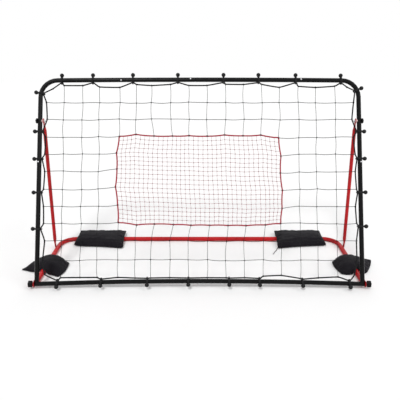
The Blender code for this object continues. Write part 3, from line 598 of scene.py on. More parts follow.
def heading(path: Sequence[Vector], index: int, closed: bool) -> Vector:
    """Give the direction of a path at one of its points.

    Args:
        path: the points.
        index: which point.
        closed: whether the last point is followed by the first.

    Returns:
        A unit vector.
    """
    last = len(path) - 1
    before = path[index - 1] if index or closed else path[0]
    after = path[0 if index == last and closed else min(index + 1, last)]
    return (after - before).normalized()


def swept(path: Sequence[Vector], radius: float, sides: int, closed: bool = False, flat: float = 1.0) -> Mesh:
    """Sweep a round or flattened section along a path.

    Its UV map runs once round the section and counts metres along the path.

    Args:
        path: the centre line.
        radius: the section's radius.
        sides: how many sides the section has.
        closed: whether the end joins the start.
        flat: thickness of the section as a share of its width.

    Returns:
        The mesh, capped unless it is closed.
    """
    shape = bmesh.new()
    layer = shape.loops.layers.uv.new("UVMap")
    way = heading(path, 0, closed)
    side = way.orthogonal().normalized()
    steep = 0.9
    if abs(way.z) < steep and flat < 1.0:
        side = way.cross(Vector((0, 0, 1))).normalized()

    def section(index: int) -> Matrix:
        """Give the place, turn and size of the section at a point.

        Args:
            index: which point.

        Returns:
            A matrix for a circle of radius 1.
        """
        nonlocal side
        ahead = heading(path, index, closed)
        side = (side - ahead * side.dot(ahead)).normalized()
        up = ahead.cross(side)
        turn = Matrix((side * radius, up * radius * flat, ahead * radius)).transposed().to_4x4()
        return Matrix.Translation(path[index]) @ turn

    place = section(0)
    first = ring = bmesh.ops.create_circle(shape, segments=sides, radius=1.0, matrix=place)["verts"]
    share = {vert: (number, 0.0) for number, vert in enumerate(ring)}
    start = edges = list(dict.fromkeys(edge for vert in ring for edge in vert.link_edges))
    gone = 0.0
    for index in range(1, len(path)):
        gone += (path[index] - path[index - 1]).length
        known = {tuple(vert.co): share[vert][0] for vert in ring}
        lifted = bmesh.ops.extrude_edge_only(shape, edges=edges)["geom"]
        ring = [item for item in lifted if isinstance(item, bmesh.types.BMVert)]
        edges = [item for item in lifted if isinstance(item, bmesh.types.BMEdge)
                 and item.verts[0] in ring and item.verts[1] in ring]
        for vert in ring:
            share[vert] = (known[tuple(vert.co)], gone)
        after = section(index)
        bmesh.ops.transform(shape, matrix=after @ place.inverted(), verts=ring)
        place = after
    bridge = []
    if closed:
        gone += (path[0] - path[-1]).length
        bridge = bmesh.ops.bridge_loops(shape, edges=start + edges)["faces"]
    for face in shape.faces:
        numbers = [share[loop.vert][0] for loop in face.loops]
        wraps = 0 in numbers and sides - 1 in numbers
        for loop in face.loops:
            number, along = share[loop.vert]
            if wraps and number == 0:
                number = sides
            if face in bridge and along == 0.0:
                along = gone
            loop[layer].uv = (number / sides, along)
    if not closed:
        bmesh.ops.contextual_create(shape, geom=first)
        bmesh.ops.contextual_create(shape, geom=ring)
    bmesh.ops.recalc_face_normals(shape, faces=shape.faces)
    return shape


def rounded(points: Sequence[Vector], steps: int, pull: float) -> list:
    """Draw a smooth closed line through points.

    Args:
        points: the points.
        steps: how many pieces each span gets.
        pull: 0 keeps the spans straight and 0.5 makes them flow.

    Returns:
        The points of the line.
    """
    count = len(points)
    line = []
    for index in range(count):
        a, b, c, d = (points[(index + shift) % count] for shift in (-1, 0, 1, 2))
        for step in range(steps):
            s = step / steps
            out = (c - a) * pull
            into = (d - b) * pull
            line.append((2 * s ** 3 - 3 * s ** 2 + 1) * b + (s ** 3 - 2 * s ** 2 + s) * out
                        + (3 * s ** 2 - 2 * s ** 3) * c + (s ** 3 - s ** 2) * into)
    return line


@dataclass(frozen=True)
class Block:
    """A block of the net's knots, by its outer columns and rows."""

    left: int
    right: int
    low: int
    high: int

    def holds(self, column: float, row: float) -> bool:
        """Tell whether a place lies in the block or on its rim."""
        return self.left <= column <= self.right and self.low <= row <= self.high

    def rims(self, column: int, row: int) -> bool:
        """Tell whether a knot of the block lies on its rim."""
        return column in (self.left, self.right) or row in (self.low, self.high)

    def runs(self) -> list:
        """List the knots along the block's four sides.

        Returns:
            Four lists of (column, row), counter-clockwise from the bottom.
        """
        columns, rows = range(self.left, self.right + 1), range(self.low, self.high + 1)
        return [[(column, self.low) for column in columns], [(self.right, row) for row in rows],
                [(column, self.high) for column in reversed(columns)],
                [(self.left, row) for row in reversed(rows)]]


@dataclass
class KnottedNet:
    """The black knotted net: twine, knots, border rope and the hitches that hold them.

    Columns and rows are where its twines run on the leaning plane, each gap is from a tube's axis
    to a knot on the border rope, and the panel's knots are given as (x, t).
    """

    columns: tuple = (-0.866, -0.768, -0.662, -0.567, -0.452, -0.357, -0.271, -0.165, -0.061, 0.042,
                      0.147, 0.249, 0.352, 0.452, 0.559, 0.657, 0.766, 0.869)
    rows: tuple = (0.032, 0.131, 0.237, 0.334, 0.428, 0.525, 0.625, 0.723, 0.820, 0.921, 1.018, 1.116)
    top_gaps: tuple = (0.030, 0.031, 0.040, 0.043, 0.027, 0.033, 0.027, 0.033, 0.033, 0.026, 0.027,
                       0.026, 0.043, 0.036, 0.042, 0.034)
    bottom_gaps: tuple = (0.030, 0.028, 0.026, 0.024, 0.0190, 0.0183, 0.0190, 0.0183, 0.0185, 0.0183,
                          0.0195, 0.029, 0.035, 0.020, 0.026, 0.034)
    left_gaps: tuple = (0.030, 0.039, 0.031, 0.029, 0.027, 0.032, 0.030, 0.033, 0.040, 0.034)
    right_gaps: tuple = (0.028, 0.028, 0.025, 0.030, 0.022, 0.027, 0.026, 0.033, 0.040, 0.029)
    whole: Block = Block(0, 17, 0, 11)
    panel: Block = Block(4, 13, 3, 8)
    panel_bottom: tuple = ((-0.453, 0.340), (-0.351, 0.326), (-0.252, 0.331), (-0.146, 0.328),
                           (-0.048, 0.324), (0.056, 0.324), (0.159, 0.323), (0.259, 0.322),
                           (0.367, 0.326), (0.452, 0.334))
    panel_top: tuple = ((-0.452, 0.824), (-0.359, 0.836), (-0.257, 0.827), (-0.152, 0.827),
                        (-0.060, 0.829), (0.044, 0.826), (0.141, 0.833), (0.245, 0.828),
                        (0.345, 0.832), (0.445, 0.816))
    panel_left: tuple = ((-0.458, 0.437), (-0.471, 0.538), (-0.464, 0.640), (-0.467, 0.730))
    panel_right: tuple = ((0.461, 0.418), (0.464, 0.519), (0.454, 0.617), (0.458, 0.713))
    twine: float = 0.0013
    cross_twine: float = 0.0017
    hitch_twine: float = 0.0010
    knot: float = 0.0030
    rope: float = 0.0039
    low_corner: tuple = (0.858, 0.052)
    top_corner_left: tuple = (0.832, 1.096)
    top_corner_right: tuple = (0.836, 1.106)
    tie_reach: float = 0.0062
    tie_clear: float = 0.004
    end_clear: float = 0.002
    rope_pull: float = 0.14
    hitch_turns: float = 2.0
    hitch_length: float = 0.0062
    hitch_air: float = 0.0009
    bight: tuple = (1.05, 0.55, 0.30)
    bight_twine: float = 0.85
    bight_turn: float = 0.4
    place_seed: int = 11
    slack_seed: int = 5
    wander: float = 0.0035
    slack: float = 0.0028
    droop: float = 0.0012
    stray: float = 0.0020
    sag: float = 0.006
    sag_middle: float = 0.58
    sag_reach: tuple = (0.87, 0.56)

    def __post_init__(self) -> None:
        """Settle every knot's place."""
        dice = random.Random(self.place_seed)
        self.knots: dict = {}
        for column, x in enumerate(self.columns):
            for row, t in enumerate(self.rows):
                shift = Vector((dice.uniform(-1, 1), dice.uniform(-1, 1))) * self.wander
                self.knots[column, row] = self.tied(column, row) or Vector((x, t)) + shift

    def tied(self, column: int, row: int) -> Optional[Vector]:
        """Place a knot that is tied to the border rope or to the target panel's rope.

        Args:
            column: which line of twine from the left.
            row: which line from below.

        Returns:
            The point as (x, t), or None for a free knot.
        """
        whole, panel = self.whole, self.panel
        x, t = self.columns[column], self.rows[row]
        if column in (0, whole.right) and row in (0, whole.high):
            corner = self.low_corner if not row else self.top_corner_right if column else self.top_corner_left
            return Vector(((1 if column else -1) * corner[0], corner[1]))
        if column == 0:
            return Vector((self.left_gaps[row - 1] - TUBES.half_width, t))
        if column == whole.right:
            return Vector((TUBES.half_width - self.right_gaps[row - 1], t))
        if row == 0:
            return Vector((x, TUBES.bottom(x) + self.bottom_gaps[column - 1]))
        if row == whole.high:
            return Vector((x, TUBES.top(x) - self.top_gaps[column - 1]))
        if not (panel.holds(column, row) and panel.rims(column, row)):
            return None
        if row in (panel.low, panel.high):
            side = self.panel_bottom if row == panel.low else self.panel_top
            return Vector(side[column - panel.left])
        side = self.panel_left if column == panel.left else self.panel_right
        return Vector(side[row - panel.low - 1])

    def lines(self) -> list:
        """List the runs of twine, which stop at the target panel.

        Returns:
            Lists of (column, row), each in order.
        """
        columns, rows = range(len(self.columns)), range(len(self.rows))
        upright = [[(column, row) for row in rows] for column in columns[1:-1]]
        level = [[(column, row) for column in columns] for row in rows[1:-1]]
        runs = []
        for line in upright + level:
            runs.append([line[0]])
            for first, second in zip(line, line[1:]):
                if self.panel.holds((first[0] + second[0]) / 2, (first[1] + second[1]) / 2):
                    runs.append([second])
                else:
                    runs[-1].append(second)
        return [run for run in runs if len(run) > 1]

    def held(self, edge: Edge) -> list:
        """List where the ties of an edge hold the border rope.

        Args:
            edge: the edge.

        Returns:
            The point and the rope's direction at each tie, both as (x, t).
        """
        gap = TUBES.rope_gap
        if edge is Edge.TOP:
            return [(Vector((x, TUBES.top(x) - gap)), Vector((1, 0))) for x in TUBES.ties_top]
        if edge is Edge.BOTTOM:
            return [(Vector((x, TUBES.bottom(x) + gap)), Vector((1, 0))) for x in TUBES.ties_bottom]
        side, ties, angle = ((1, TUBES.ties_right, TUBES.corner_right) if edge is Edge.RIGHT
                             else (-1, TUBES.ties_left, TUBES.corner_left))
        places = [(Vector((side * (TUBES.half_width - gap), t)), Vector((0, 1))) for t in ties]
        outward = Vector((side * math.cos(angle), math.sin(angle)))
        along = Vector((-side * math.sin(angle), math.cos(angle)))
        return places + [(TUBES.corner_point(side, angle) - outward * gap, along)]

    def rope_points(self) -> list:
        """Give the border rope's line through its ties and knots, counter-clockwise.

        Returns:
            Points as (x, t).
        """
        line = []
        for edge, run in zip(Edge, self.whole.runs()):
            axis = 0 if edge in (Edge.TOP, Edge.BOTTOM) else 1
            points = [self.knots[at] for at in run]
            low, high = sorted((points[0][axis], points[-1][axis]))
            points.pop()
            for middle, along in self.held(edge):
                for step in (-self.tie_reach, self.tie_reach):
                    spot = middle + along * step
                    if low + self.end_clear < spot[axis] < high - self.end_clear:
                        points = [knot for knot in points if (knot - spot).length > self.tie_clear]
                        points.append(spot)
            points.sort(key=lambda spot: spot[axis], reverse=edge in (Edge.TOP, Edge.LEFT))
            line += points
        return line

    def in_space(self, spot: Vector, lift: float = 0.0) -> Vector:
        """Place a spot of the net in the row frame, a little behind the plane where it hangs free.

        Args:
            spot: the place as (x, t).
            lift: how far further behind it lies.

        Returns:
            The point.
        """
        across = max(0.0, 1 - (spot.x / self.sag_reach[0]) ** 2)
        up = max(0.0, 1 - ((spot.y - self.sag_middle) / self.sag_reach[1]) ** 2)
        return PLANE.point(spot.x, spot.y, self.sag * across * up + lift)

    def twine_path(self, run: Sequence[tuple], dice: random.Random) -> list:
        """Draw a run of twine from knot to knot with a little slack.

        Args:
            run: its knots.
            dice: gives the slack.

        Returns:
            Points in the row frame.
        """
        path = []
        pieces = 5
        upright = run[0][0] == run[1][0]
        slack_way = Vector((1, 0)) if upright else Vector((0, 1))
        for first, second in zip(run, run[1:]):
            start, end = self.knots[first], self.knots[second]
            bow = dice.uniform(-self.slack, self.slack) - (0.0 if upright else self.droop)
            behind = dice.uniform(-self.stray, self.stray)
            for step in range(pieces):
                share = step / pieces
                swing = math.sin(math.pi * share)
                path.append(self.in_space(start.lerp(end, share) + slack_way * (bow * swing), behind * swing))
        path.append(self.in_space(self.knots[run[-1]]))
        return path

    def hitch(self, at: tuple, along: tuple, rope: float, turns: float, length: float) -> Mesh:
        """Wind a short hitch of twine round a rope at a knot.

        Args:
            at: the knot's column and row.
            along: the rope's direction on the leaning plane.
            rope: the rope's radius.
            turns: how often the twine goes round.
            length: how far it runs along the rope.

        Returns:
            Its mesh.
        """
        centre = self.in_space(self.knots[at])
        way = PLANE.matrix().to_3x3() @ Vector(along)
        side = way.orthogonal().normalized()
        up = way.cross(side)
        radius = rope + self.hitch_air
        steps_in_turn = 9
        steps = round(turns * steps_in_turn)
        path = []
        for step in range(steps + 1):
            turn = 2 * math.pi * turns * step / steps
            path.append(centre + way * (length * (step / steps - 0.5))
                        + (side * math.cos(turn) + up * math.sin(turn)) * radius)
        return swept(path, self.hitch_twine, sides=5)

    def reef_knot(self, centre: Vector, turn: float) -> Mesh:
        """Tie a small knot where two twines cross: two interlocked bights, drawn tight.

        Args:
            centre: its middle in the row frame.
            turn: how far it is turned in the net's plane.

        Returns:
            Its mesh.
        """
        frame_turn = PLANE.matrix().to_3x3() @ Matrix.Rotation(turn, 3, "Z")
        length, width, lift = self.bight
        steps = 10
        shape = bmesh.new()
        for quarter in range(2):
            spin = frame_turn @ Matrix.Rotation(math.pi / 2 * quarter + math.pi / 4, 3, "Z")
            loop = []
            for step in range(steps):
                angle = 2 * math.pi * step / steps
                spot = Vector((math.cos(angle) * self.knot * length, math.sin(angle) * self.knot * width,
                               math.sin(2 * angle) * self.knot * lift))
                loop.append(centre + spin @ spot)
            gather(shape, swept(loop, self.twine * self.bight_twine, sides=4, closed=True))
        return shape

    def build_twine(self) -> Piece:
        """Make the black twine with its knots.

        Returns:
            The piece.
        """
        dice = random.Random(self.slack_seed)
        shape = bmesh.new()
        for run in self.lines():
            upright = run[0][0] == run[-1][0]
            radius = self.twine if upright else self.cross_twine
            gather(shape, swept(self.twine_path(run, dice), radius, sides=5))
        for at, spot in self.knots.items():
            if not (self.whole.rims(*at) or self.panel.holds(*at)):
                turn = dice.uniform(-self.bight_turn, self.bight_turn)
                gather(shape, self.reef_knot(self.in_space(spot), turn))
        return publish("net_twine", shape, "front_frame", Slot.BLACK_CORD, "coarse_net")

    def build_rope(self) -> Piece:
        """Make the border rope with the hitches that hold the twine to it.

        Returns:
            The piece.
        """
        shape = bmesh.new()
        line = [self.in_space(spot) for spot in rounded(self.rope_points(), steps=3, pull=self.rope_pull)]
        gather(shape, swept(line, self.rope, sides=8, closed=True))
        for at in self.knots:
            if self.whole.rims(*at):
                along = (0, 1, 0) if at[0] in (0, self.whole.right) else (1, 0, 0)
                gather(shape, self.hitch(at, along, self.rope, self.hitch_turns, self.hitch_length))
        return publish("net_border_rope", shape, "front_frame", Slot.BLACK_CORD)


@dataclass
class TargetPanel:
    """The red target panel: a fine net inside its own rope, laced to the black net."""

    net: KnottedNet
    across: int = 36
    up: int = 20
    twine: float = 0.00078
    knot: float = 0.0027
    rope: float = 0.0038
    draw: float = 0.0018
    rope_pull: float = 0.35
    lacing_turns: float = 2.5
    lacing_length: float = 0.0085
    wander: float = 0.0012
    knot_flat: float = 0.75
    knot_turn: float = 1.5
    seed: int = 3

    def sides(self) -> list:
        """List the rope's four sides, each as points with the rope drawn in between its knots.

        Returns:
            Four lists of (x, t), counter-clockwise from the bottom.
        """
        inward = [Vector((0, 1)), Vector((-1, 0)), Vector((0, -1)), Vector((1, 0))]
        pieces = 4
        sides = []
        for run, way in zip(self.net.panel.runs(), inward):
            points = []
            for first, second in zip(run, run[1:]):
                start, end = self.net.knots[first], self.net.knots[second]
                for step in range(pieces):
                    share = step / pieces
                    points.append(start.lerp(end, share) + way * self.draw * math.sin(math.pi * share))
            points.append(self.net.knots[run[-1]])
            sides.append(points)
        return sides

    def spot(self, u: float, v: float, sides: Sequence) -> Vector:
        """Place a point of the panel between its four sides.

        Args:
            u: share across, from the left.
            v: share up, from below.
            sides: the rope's four sides.

        Returns:
            The point as (x, t).
        """
        def on(side: Sequence, share: float) -> Vector:
            """Give a point of a side.

            Args:
                side: the side's points.
                share: how far along it.

            Returns:
                The point as (x, t).
            """
            place = min(max(share, 0.0), 1.0) * (len(side) - 1)
            index = min(int(place), len(side) - 2)
            return side[index].lerp(side[index + 1], place - index)

        bottom, right, top, left = sides
        low, high = on(bottom, u), on(top, 1 - u)
        west, east = on(left, 1 - v), on(right, v)
        a, b, c, d = (side[0] for side in sides)
        plain = (a * (1 - u) + b * u) * (1 - v) + (d * (1 - u) + c * u) * v
        return low * (1 - v) + high * v + west * (1 - u) + east * u - plain

    def build_mesh(self) -> Piece:
        """Make the fine red net with its small knots, which take a darker copy of the red cord as painted
        shade.

        Returns:
            The piece.
        """
        dice = random.Random(self.seed)
        sides = self.sides()
        grid = {}
        for i in range(self.across + 1):
            for j in range(self.up + 1):
                shift = Vector((dice.uniform(-1, 1), dice.uniform(-1, 1))) * self.wander
                if i in (0, self.across) or j in (0, self.up):
                    shift = Vector((0, 0))
                grid[i, j] = self.net.in_space(self.spot(i / self.across, j / self.up, sides) + shift)
        shape = bmesh.new()
        paths = [[grid[i, j] for j in range(self.up + 1)] for i in range(1, self.across)]
        paths += [[grid[i, j] for i in range(self.across + 1)] for j in range(1, self.up)]
        for path in paths:
            gather(shape, swept(path, self.twine, sides=4))
        beads = bmesh.new()
        flat = PLANE.matrix().to_3x3().to_4x4() @ Matrix.Diagonal((1.0, 1.0, self.knot_flat, 1.0))
        for i in range(1, self.across):
            for j in range(1, self.up):
                spin = Matrix.Rotation(dice.uniform(0, self.knot_turn), 4, "Z")
                place = Matrix.Translation(grid[i, j]) @ flat @ spin
                bmesh.ops.create_uvsphere(beads, u_segments=6, v_segments=4, radius=self.knot, matrix=place)
        gather(shape, beads, 1)
        # Painted shade: the knots get a darker copy of the red cord, standing in for the shade on the thick
        # knots.
        knotted = LaidTwine("red_cord_knots_painted_shade", (0.075, 0.012, 0.016), 2, 0.004, 0.0003)
        return publish("target_mesh", shape, "front_frame", Slot.RED_CORD, "target_net",
                       [Slot.RED_CORD.value, knotted])

    def build_rope(self) -> Piece:
        """Make the red rope round the panel.

        Returns:
            The piece.
        """
        points = [spot for side in self.sides() for spot in side[:-1]]
        shape = bmesh.new()
        line = [self.net.in_space(spot) for spot in rounded(points, steps=3, pull=self.rope_pull)]
        gather(shape, swept(line, self.rope, sides=8, closed=True))
        return publish("target_rope", shape, "front_frame", Slot.RED_CORD)

    def build_lacing(self) -> Piece:
        """Make the black twine hitched round the red rope at every crossing.

        Returns:
            The piece.
        """
        shape = bmesh.new()
        block = self.net.panel
        columns, rows = range(block.left, block.right + 1), range(block.low + 1, block.high)
        level = [(column, row) for column in columns for row in (block.low, block.high)]
        upright = [(column, row) for row in rows for column in (block.left, block.right)]
        for knots, along in ((level, (1, 0, 0)), (upright, (0, 1, 0))):
            for at in knots:
                lace = self.net.hitch(at, along, self.rope, self.lacing_turns, self.lacing_length)
                gather(shape, lace)
        return publish("target_lacing", shape, "front_frame", Slot.BLACK_CORD)


@dataclass
class BallTie:
    """An elastic loop with a ball: it goes round the tube and the net's rope.

    It is made with the tube's axis along Z through the origin and the rope on -X, and its ball is
    on +X, turned about the tube.
    """

    ball: float = 0.0116
    reach: float = 0.0280
    cord: float = 0.0021
    rope: float = 0.0039
    spacing: float = 0.0026
    tube_air: float = 0.0006
    rope_air: float = 0.0003
    neck_gap: float = 0.0042
    neck: float = 0.0070
    lip: float = 0.0077
    lip_height: float = 0.0007
    body_gap: float = 0.0012
    parting_swell: float = 1.025
    dimple: tuple = ((0.0026, 0.955), (0.0020, 0.93), (0.0016, 0.82), (0.0, 0.82))
    lift: float = 0.0060
    lift_reach: float = 0.42
    tuck: float = 0.55
    tuck_reach: float = 0.5
    pull: float = 0.45
    bottom_turn: float = math.radians(50.0)

    def loop(self, turn: float, offset: float) -> list:
        """Draw one strand of the elastic round the tube and the rope.

        Args:
            turn: how far the ball is turned about the tube.
            offset: the strand's place along the tube.

        Returns:
            The points of the closed strand.
        """
        round_tube = TUBES.tube + self.tube_air + self.cord
        round_rope = self.rope + self.rope_air + self.cord
        spread = math.acos((round_tube - round_rope) / TUBES.rope_gap)
        points = []
        steps, rope_steps = 14, 6
        low, high = -(math.pi - spread), math.pi - spread
        for step in range(steps + 1):
            angle = low + (high - low) * step / steps
            away = abs(angle - turn)
            lift = self.lift * max(0.0, 1 - away / self.lift_reach) ** 2
            tuck = 1.0 - self.tuck * max(0.0, 1 - away / self.tuck_reach)
            points.append(around(angle, round_tube + lift, offset * tuck))
        for step in range(rope_steps + 1):
            angle = math.pi + spread * (2 * step / rope_steps - 1)
            points.append(around(angle, round_rope, offset, -TUBES.rope_gap))
        return rounded(points, steps=2, pull=self.pull)

    def moulded_ball(self, turn: float) -> Mesh:
        """Turn the ball: a neck, a round body with a parting line and a dimple round the knot hole.

        Args:
            turn: how far the ball is turned about the tube.

        Returns:
            Its mesh.
        """
        shape = bmesh.new()
        radius, start = self.ball, TUBES.tube + self.neck_gap
        profile = [(0.0, start), (self.neck, start), (self.lip, start + self.lip_height)]
        steps = 19
        for step in range(2, steps - 1):
            angle = math.pi * step / steps
            swell = self.parting_swell if step in (steps // 2, steps // 2 + 1) else 1.0
            place = self.reach - radius * math.cos(angle)
            if place > start + self.body_gap:
                profile.append((radius * math.sin(angle) * swell, place))
        profile += [(away, self.reach + radius * share) for away, share in self.dimple]
        verts = [shape.verts.new((place, 0, away)) for away, place in profile]
        edges = [shape.edges.new(pair) for pair in zip(verts, verts[1:])]
        bmesh.ops.spin(shape, geom=verts + edges, axis=(1, 0, 0), cent=(0, 0, 0), angle=2 * math.pi, steps=16,
                       use_merge=True)
        bmesh.ops.remove_doubles(shape, verts=shape.verts, dist=0.00001)
        bmesh.ops.recalc_face_normals(shape, faces=shape.faces)
        bmesh.ops.rotate(shape, verts=shape.verts, cent=(0, 0, 0), matrix=Matrix.Rotation(turn, 3, "Z"))
        return shape

    def build_all(self) -> None:
        """Make every tie in its place."""
        elastic = BraidedElastic("tie_elastic", (0.014, 0.014, 0.015), 0.0035)
        lean = Matrix.Rotation(-PLANE.lean, 4, "X")
        for number, (x, t, angle, bottom) in enumerate(TUBES.tie_places(), start=1):
            turn = -self.bottom_turn if bottom else 0.0
            shape = bmesh.new()
            for offset in (-self.spacing, self.spacing):
                gather(shape, swept(self.loop(turn, offset), self.cord, sides=8, closed=True))
            gather(shape, self.moulded_ball(turn), 1)
            place = Matrix.Translation(PLANE.point(x, t)) @ lean @ Matrix.Rotation(-angle, 4, "Y")
            bmesh.ops.transform(shape, matrix=place, verts=shape.verts)
            publish(f"tie_{number:02d}", shape, "front_frame", Slot.BALL_PLASTIC, f"ball_tie_{number:02d}",
                    [elastic, Slot.BALL_PLASTIC.value])


def eased(table: Sequence[tuple], place: float) -> float:
    """Read a table of (place, value) with a smooth step between its rows.

    Args:
        table: the rows, in rising order of place.
        place: where to read.

    Returns:
        The value.
    """
    if place <= table[0][0]:
        return table[0][1]
    for (start, low), (end, high) in zip(table, table[1:]):
        if place <= end:
            share = (place - start) / (end - start)
            return low + (high - low) * (share * share * (3 - 2 * share))
    return table[-1][1]


@dataclass(frozen=True)
class SoftLine:
    """A soft line through a few points, such as one sewn side of a bag."""

    points: tuple

    def at(self, share: float) -> Vector:
        """Give a place on the line.

        Args:
            share: how far along, from 0 to 1.

        Returns:
            The point in the row frame.
        """
        knots = [Vector(point) for point in self.points]
        reach = [0.0]
        for first, second in zip(knots, knots[1:]):
            reach.append(reach[-1] + (second - first).length)
        place = min(max(share, 0.0), 1.0) * reach[-1]
        index = max(number for number in range(len(knots) - 1) if reach[number] <= place)
        span = reach[index + 1] - reach[index]
        part = (place - reach[index]) / span

        def slope(number: int) -> Vector:
            """Give the line's direction at a knot."""
            before, after = max(number - 1, 0), min(number + 1, len(knots) - 1)
            return (knots[after] - knots[before]) / (reach[after] - reach[before])

        square, cube = part ** 2, part ** 3
        return (knots[index] * (2 * cube - 3 * square + 1) + slope(index) * span * (cube - 2 * square + part)
                + knots[index + 1] * (3 * square - 2 * cube) + slope(index + 1) * span * (cube - square))


@dataclass
class SandBag:
    """A sewn bag filled with sand that lies over a floor tube.

    Its sides run round from the front left corner, each given without its last point, which starts
    the next one. The crown gives the top's height by the distance from the tube's axis, positive
    behind a tube that runs across or inside a side tube.
    """

    name: str
    outline: tuple
    tube_along: tuple
    tube_point: tuple
    seed: int
    crown: tuple
    square: tuple
    under_square: tuple = (18, 14)
    cells: tuple = (56, 44)
    tube: float = 0.0140
    tube_air: float = 0.0008
    axis_height: float = 0.0135
    ridge: float = 0.0105
    drape: float = 0.030
    drape_power: float = 1.7
    floor_gap: float = 0.0015
    drop: float = 0.0052
    seam: float = 0.0016
    least_fill: float = 0.003
    pucker: float = 0.0012
    pucker_reach: float = 0.020
    pitches: tuple = (0.021, 0.024, 0.019, 0.022)
    pucker_drift: float = 3.0
    dent_layers: tuple = ((0.0022, 16, 16, 3.7), (0.0014, 45, 30, 9.1))
    hem: float = 0.0060
    hem_flat: float = 0.26
    hem_inset: tuple = (0.985, 0.98)
    voxel: float = 0.0045
    pin_height: float = 0.0065
    pin_reach: float = 0.009
    frames: int = 20
    swell: float = 0.0055
    sink: float = 0.98
    least_height: float = 0.001
    fill: float = 0.55

    def __post_init__(self) -> None:
        """Join the sides into soft lines."""
        following = self.outline[1:] + self.outline[:1]
        self.sides = [SoftLine(side + after[:1]) for side, after in zip(self.outline, following)]

    def plan(self, u: float, v: float) -> Vector:
        """Place a point between the sewn sides.

        Args:
            u: share from the left side to the right one.
            v: share from the front side to the back one.

        Returns:
            The point in the row frame, at the height of the seams.
        """
        front, right, back, left = self.sides
        a, b, c, d = front.at(0), front.at(1), back.at(0), back.at(1)
        across = front.at(u) * (1 - v) + back.at(1 - u) * v
        along = left.at(1 - v) * (1 - u) + right.at(v) * u
        return across + along - (a * (1 - u) + b * u) * (1 - v) - (d * (1 - u) + c * u) * v

    def off_tube(self, spot: Vector) -> float:
        """Give the signed distance of a spot from the tube's axis on the plan.

        Args:
            spot: the place.

        Returns:
            The distance, negative in front of a tube that runs across.
        """
        along = Vector(self.tube_along).normalized()
        away = spot.xy - Vector(self.tube_point)
        return away.y * along.x - away.x * along.y

    def ground(self, spot: Vector) -> float:
        """Say how high the cloth's underside lies at a spot.

        Args:
            spot: the place.

        Returns:
            The height in metres.
        """
        away = abs(self.off_tube(spot))
        clear = self.tube + self.tube_air
        if away < self.ridge:
            return self.axis_height + math.sqrt(clear ** 2 - away ** 2)
        fall = max(0.0, 1 - (away - self.ridge) / self.drape) ** self.drape_power
        return self.floor_gap + (self.axis_height + clear - self.drop) * fall

    def dents(self, u: float, v: float, spot: Vector) -> float:
        """Work out the puckers along the seams and the soft dents of the sand.

        Args:
            u: share from the first corner to the second.
            v: share from the first corner to the fourth.
            spot: the place.

        Returns:
            The height to add, in metres.
        """
        front, _, back, _ = self.sides
        length, depth = (front.at(1) - front.at(0)).length, (back.at(1) - front.at(0)).length
        insets = (v * depth, (1 - v) * depth, u * length, (1 - u) * length)
        walks = (u * length, u * length, v * depth, v * depth)
        total = 0.0
        for inset, along, pitch in zip(insets, walks, self.pitches):
            drift = self.pucker_drift * noise.noise(Vector((along * 30, self.seed, 0)))
            wave = math.sin(2 * math.pi * along / pitch + drift)
            total += self.pucker * wave * math.exp(-inset / self.pucker_reach)
        for height, across, deep, layer in self.dent_layers:
            total += height * noise.noise(Vector((spot.x * across, spot.y * deep, self.seed * layer)))
        return total

    def slab(self) -> Mesh:
        """Cut and close the two cloth panels, with the sand between them.

        Returns:
            The closed mesh.
        """
        shape = bmesh.new()
        bmesh.ops.create_grid(shape, x_segments=self.cells[0], y_segments=self.cells[1], size=0.5)
        under = bmesh.ops.duplicate(shape, geom=shape.verts[:] + shape.edges[:] + shape.faces[:])["geom"]
        low = {item for item in under if isinstance(item, bmesh.types.BMVert)}
        bmesh.ops.reverse_faces(shape, faces=[item for item in under if isinstance(item, bmesh.types.BMFace)])
        for vert in shape.verts:
            u, v = min(max(vert.co.x + 0.5, 0.0), 1.0), min(max(vert.co.y + 0.5, 0.0), 1.0)
            power_u, power_v = self.under_square if vert in low else self.square
            puff = math.sqrt(max(0.0, (1 - abs(2 * u - 1) ** power_u) * (1 - abs(2 * v - 1) ** power_v)))
            spot = self.plan(u, v)
            edge = max(spot.z, self.ground(spot) + self.seam)
            if vert in low:
                height = edge + (self.ground(spot) - edge) * puff
            else:
                full = eased(self.crown, self.off_tube(spot)) - 0.5 * self.swell
                height = edge + max(self.least_fill, full + self.dents(u, v, spot) - edge) * puff
            vert.co = (spot.x, spot.y, height)
        bmesh.ops.remove_doubles(shape, verts=shape.verts, dist=0.0002)
        bmesh.ops.recalc_face_normals(shape, faces=shape.faces)
        return shape

    def seam_line(self) -> list:
        """Draw the sewn edge round the bag.

        Returns:
            Points in the row frame.
        """
        steps = 30
        shares = [step / steps for step in range(steps)]
        walk = [(share, 0.0) for share in shares] + [(1.0, share) for share in shares]
        walk += [(1 - share, 1.0) for share in shares] + [(0.0, 1 - share) for share in shares]
        across, deep = self.hem_inset
        line = []
        for u, v in walk:
            spot = self.plan(0.5 + (u - 0.5) * across, 0.5 + (v - 0.5) * deep)
            spot.z = max(spot.z, self.ground(spot) + self.seam)
            line.append(spot)
        return line

    def settle(self, item: Piece) -> None:
        """Let the filled cloth find its form by a short cloth simulation.

        Args:
            item: the bag's closed mesh.
        """
        def evaluated() -> bpy.types.Mesh:
            """Give the item's mesh after its modifiers."""
            return bpy.data.meshes.new_from_object(item.evaluated_get(bpy.context.evaluated_depsgraph_get()))

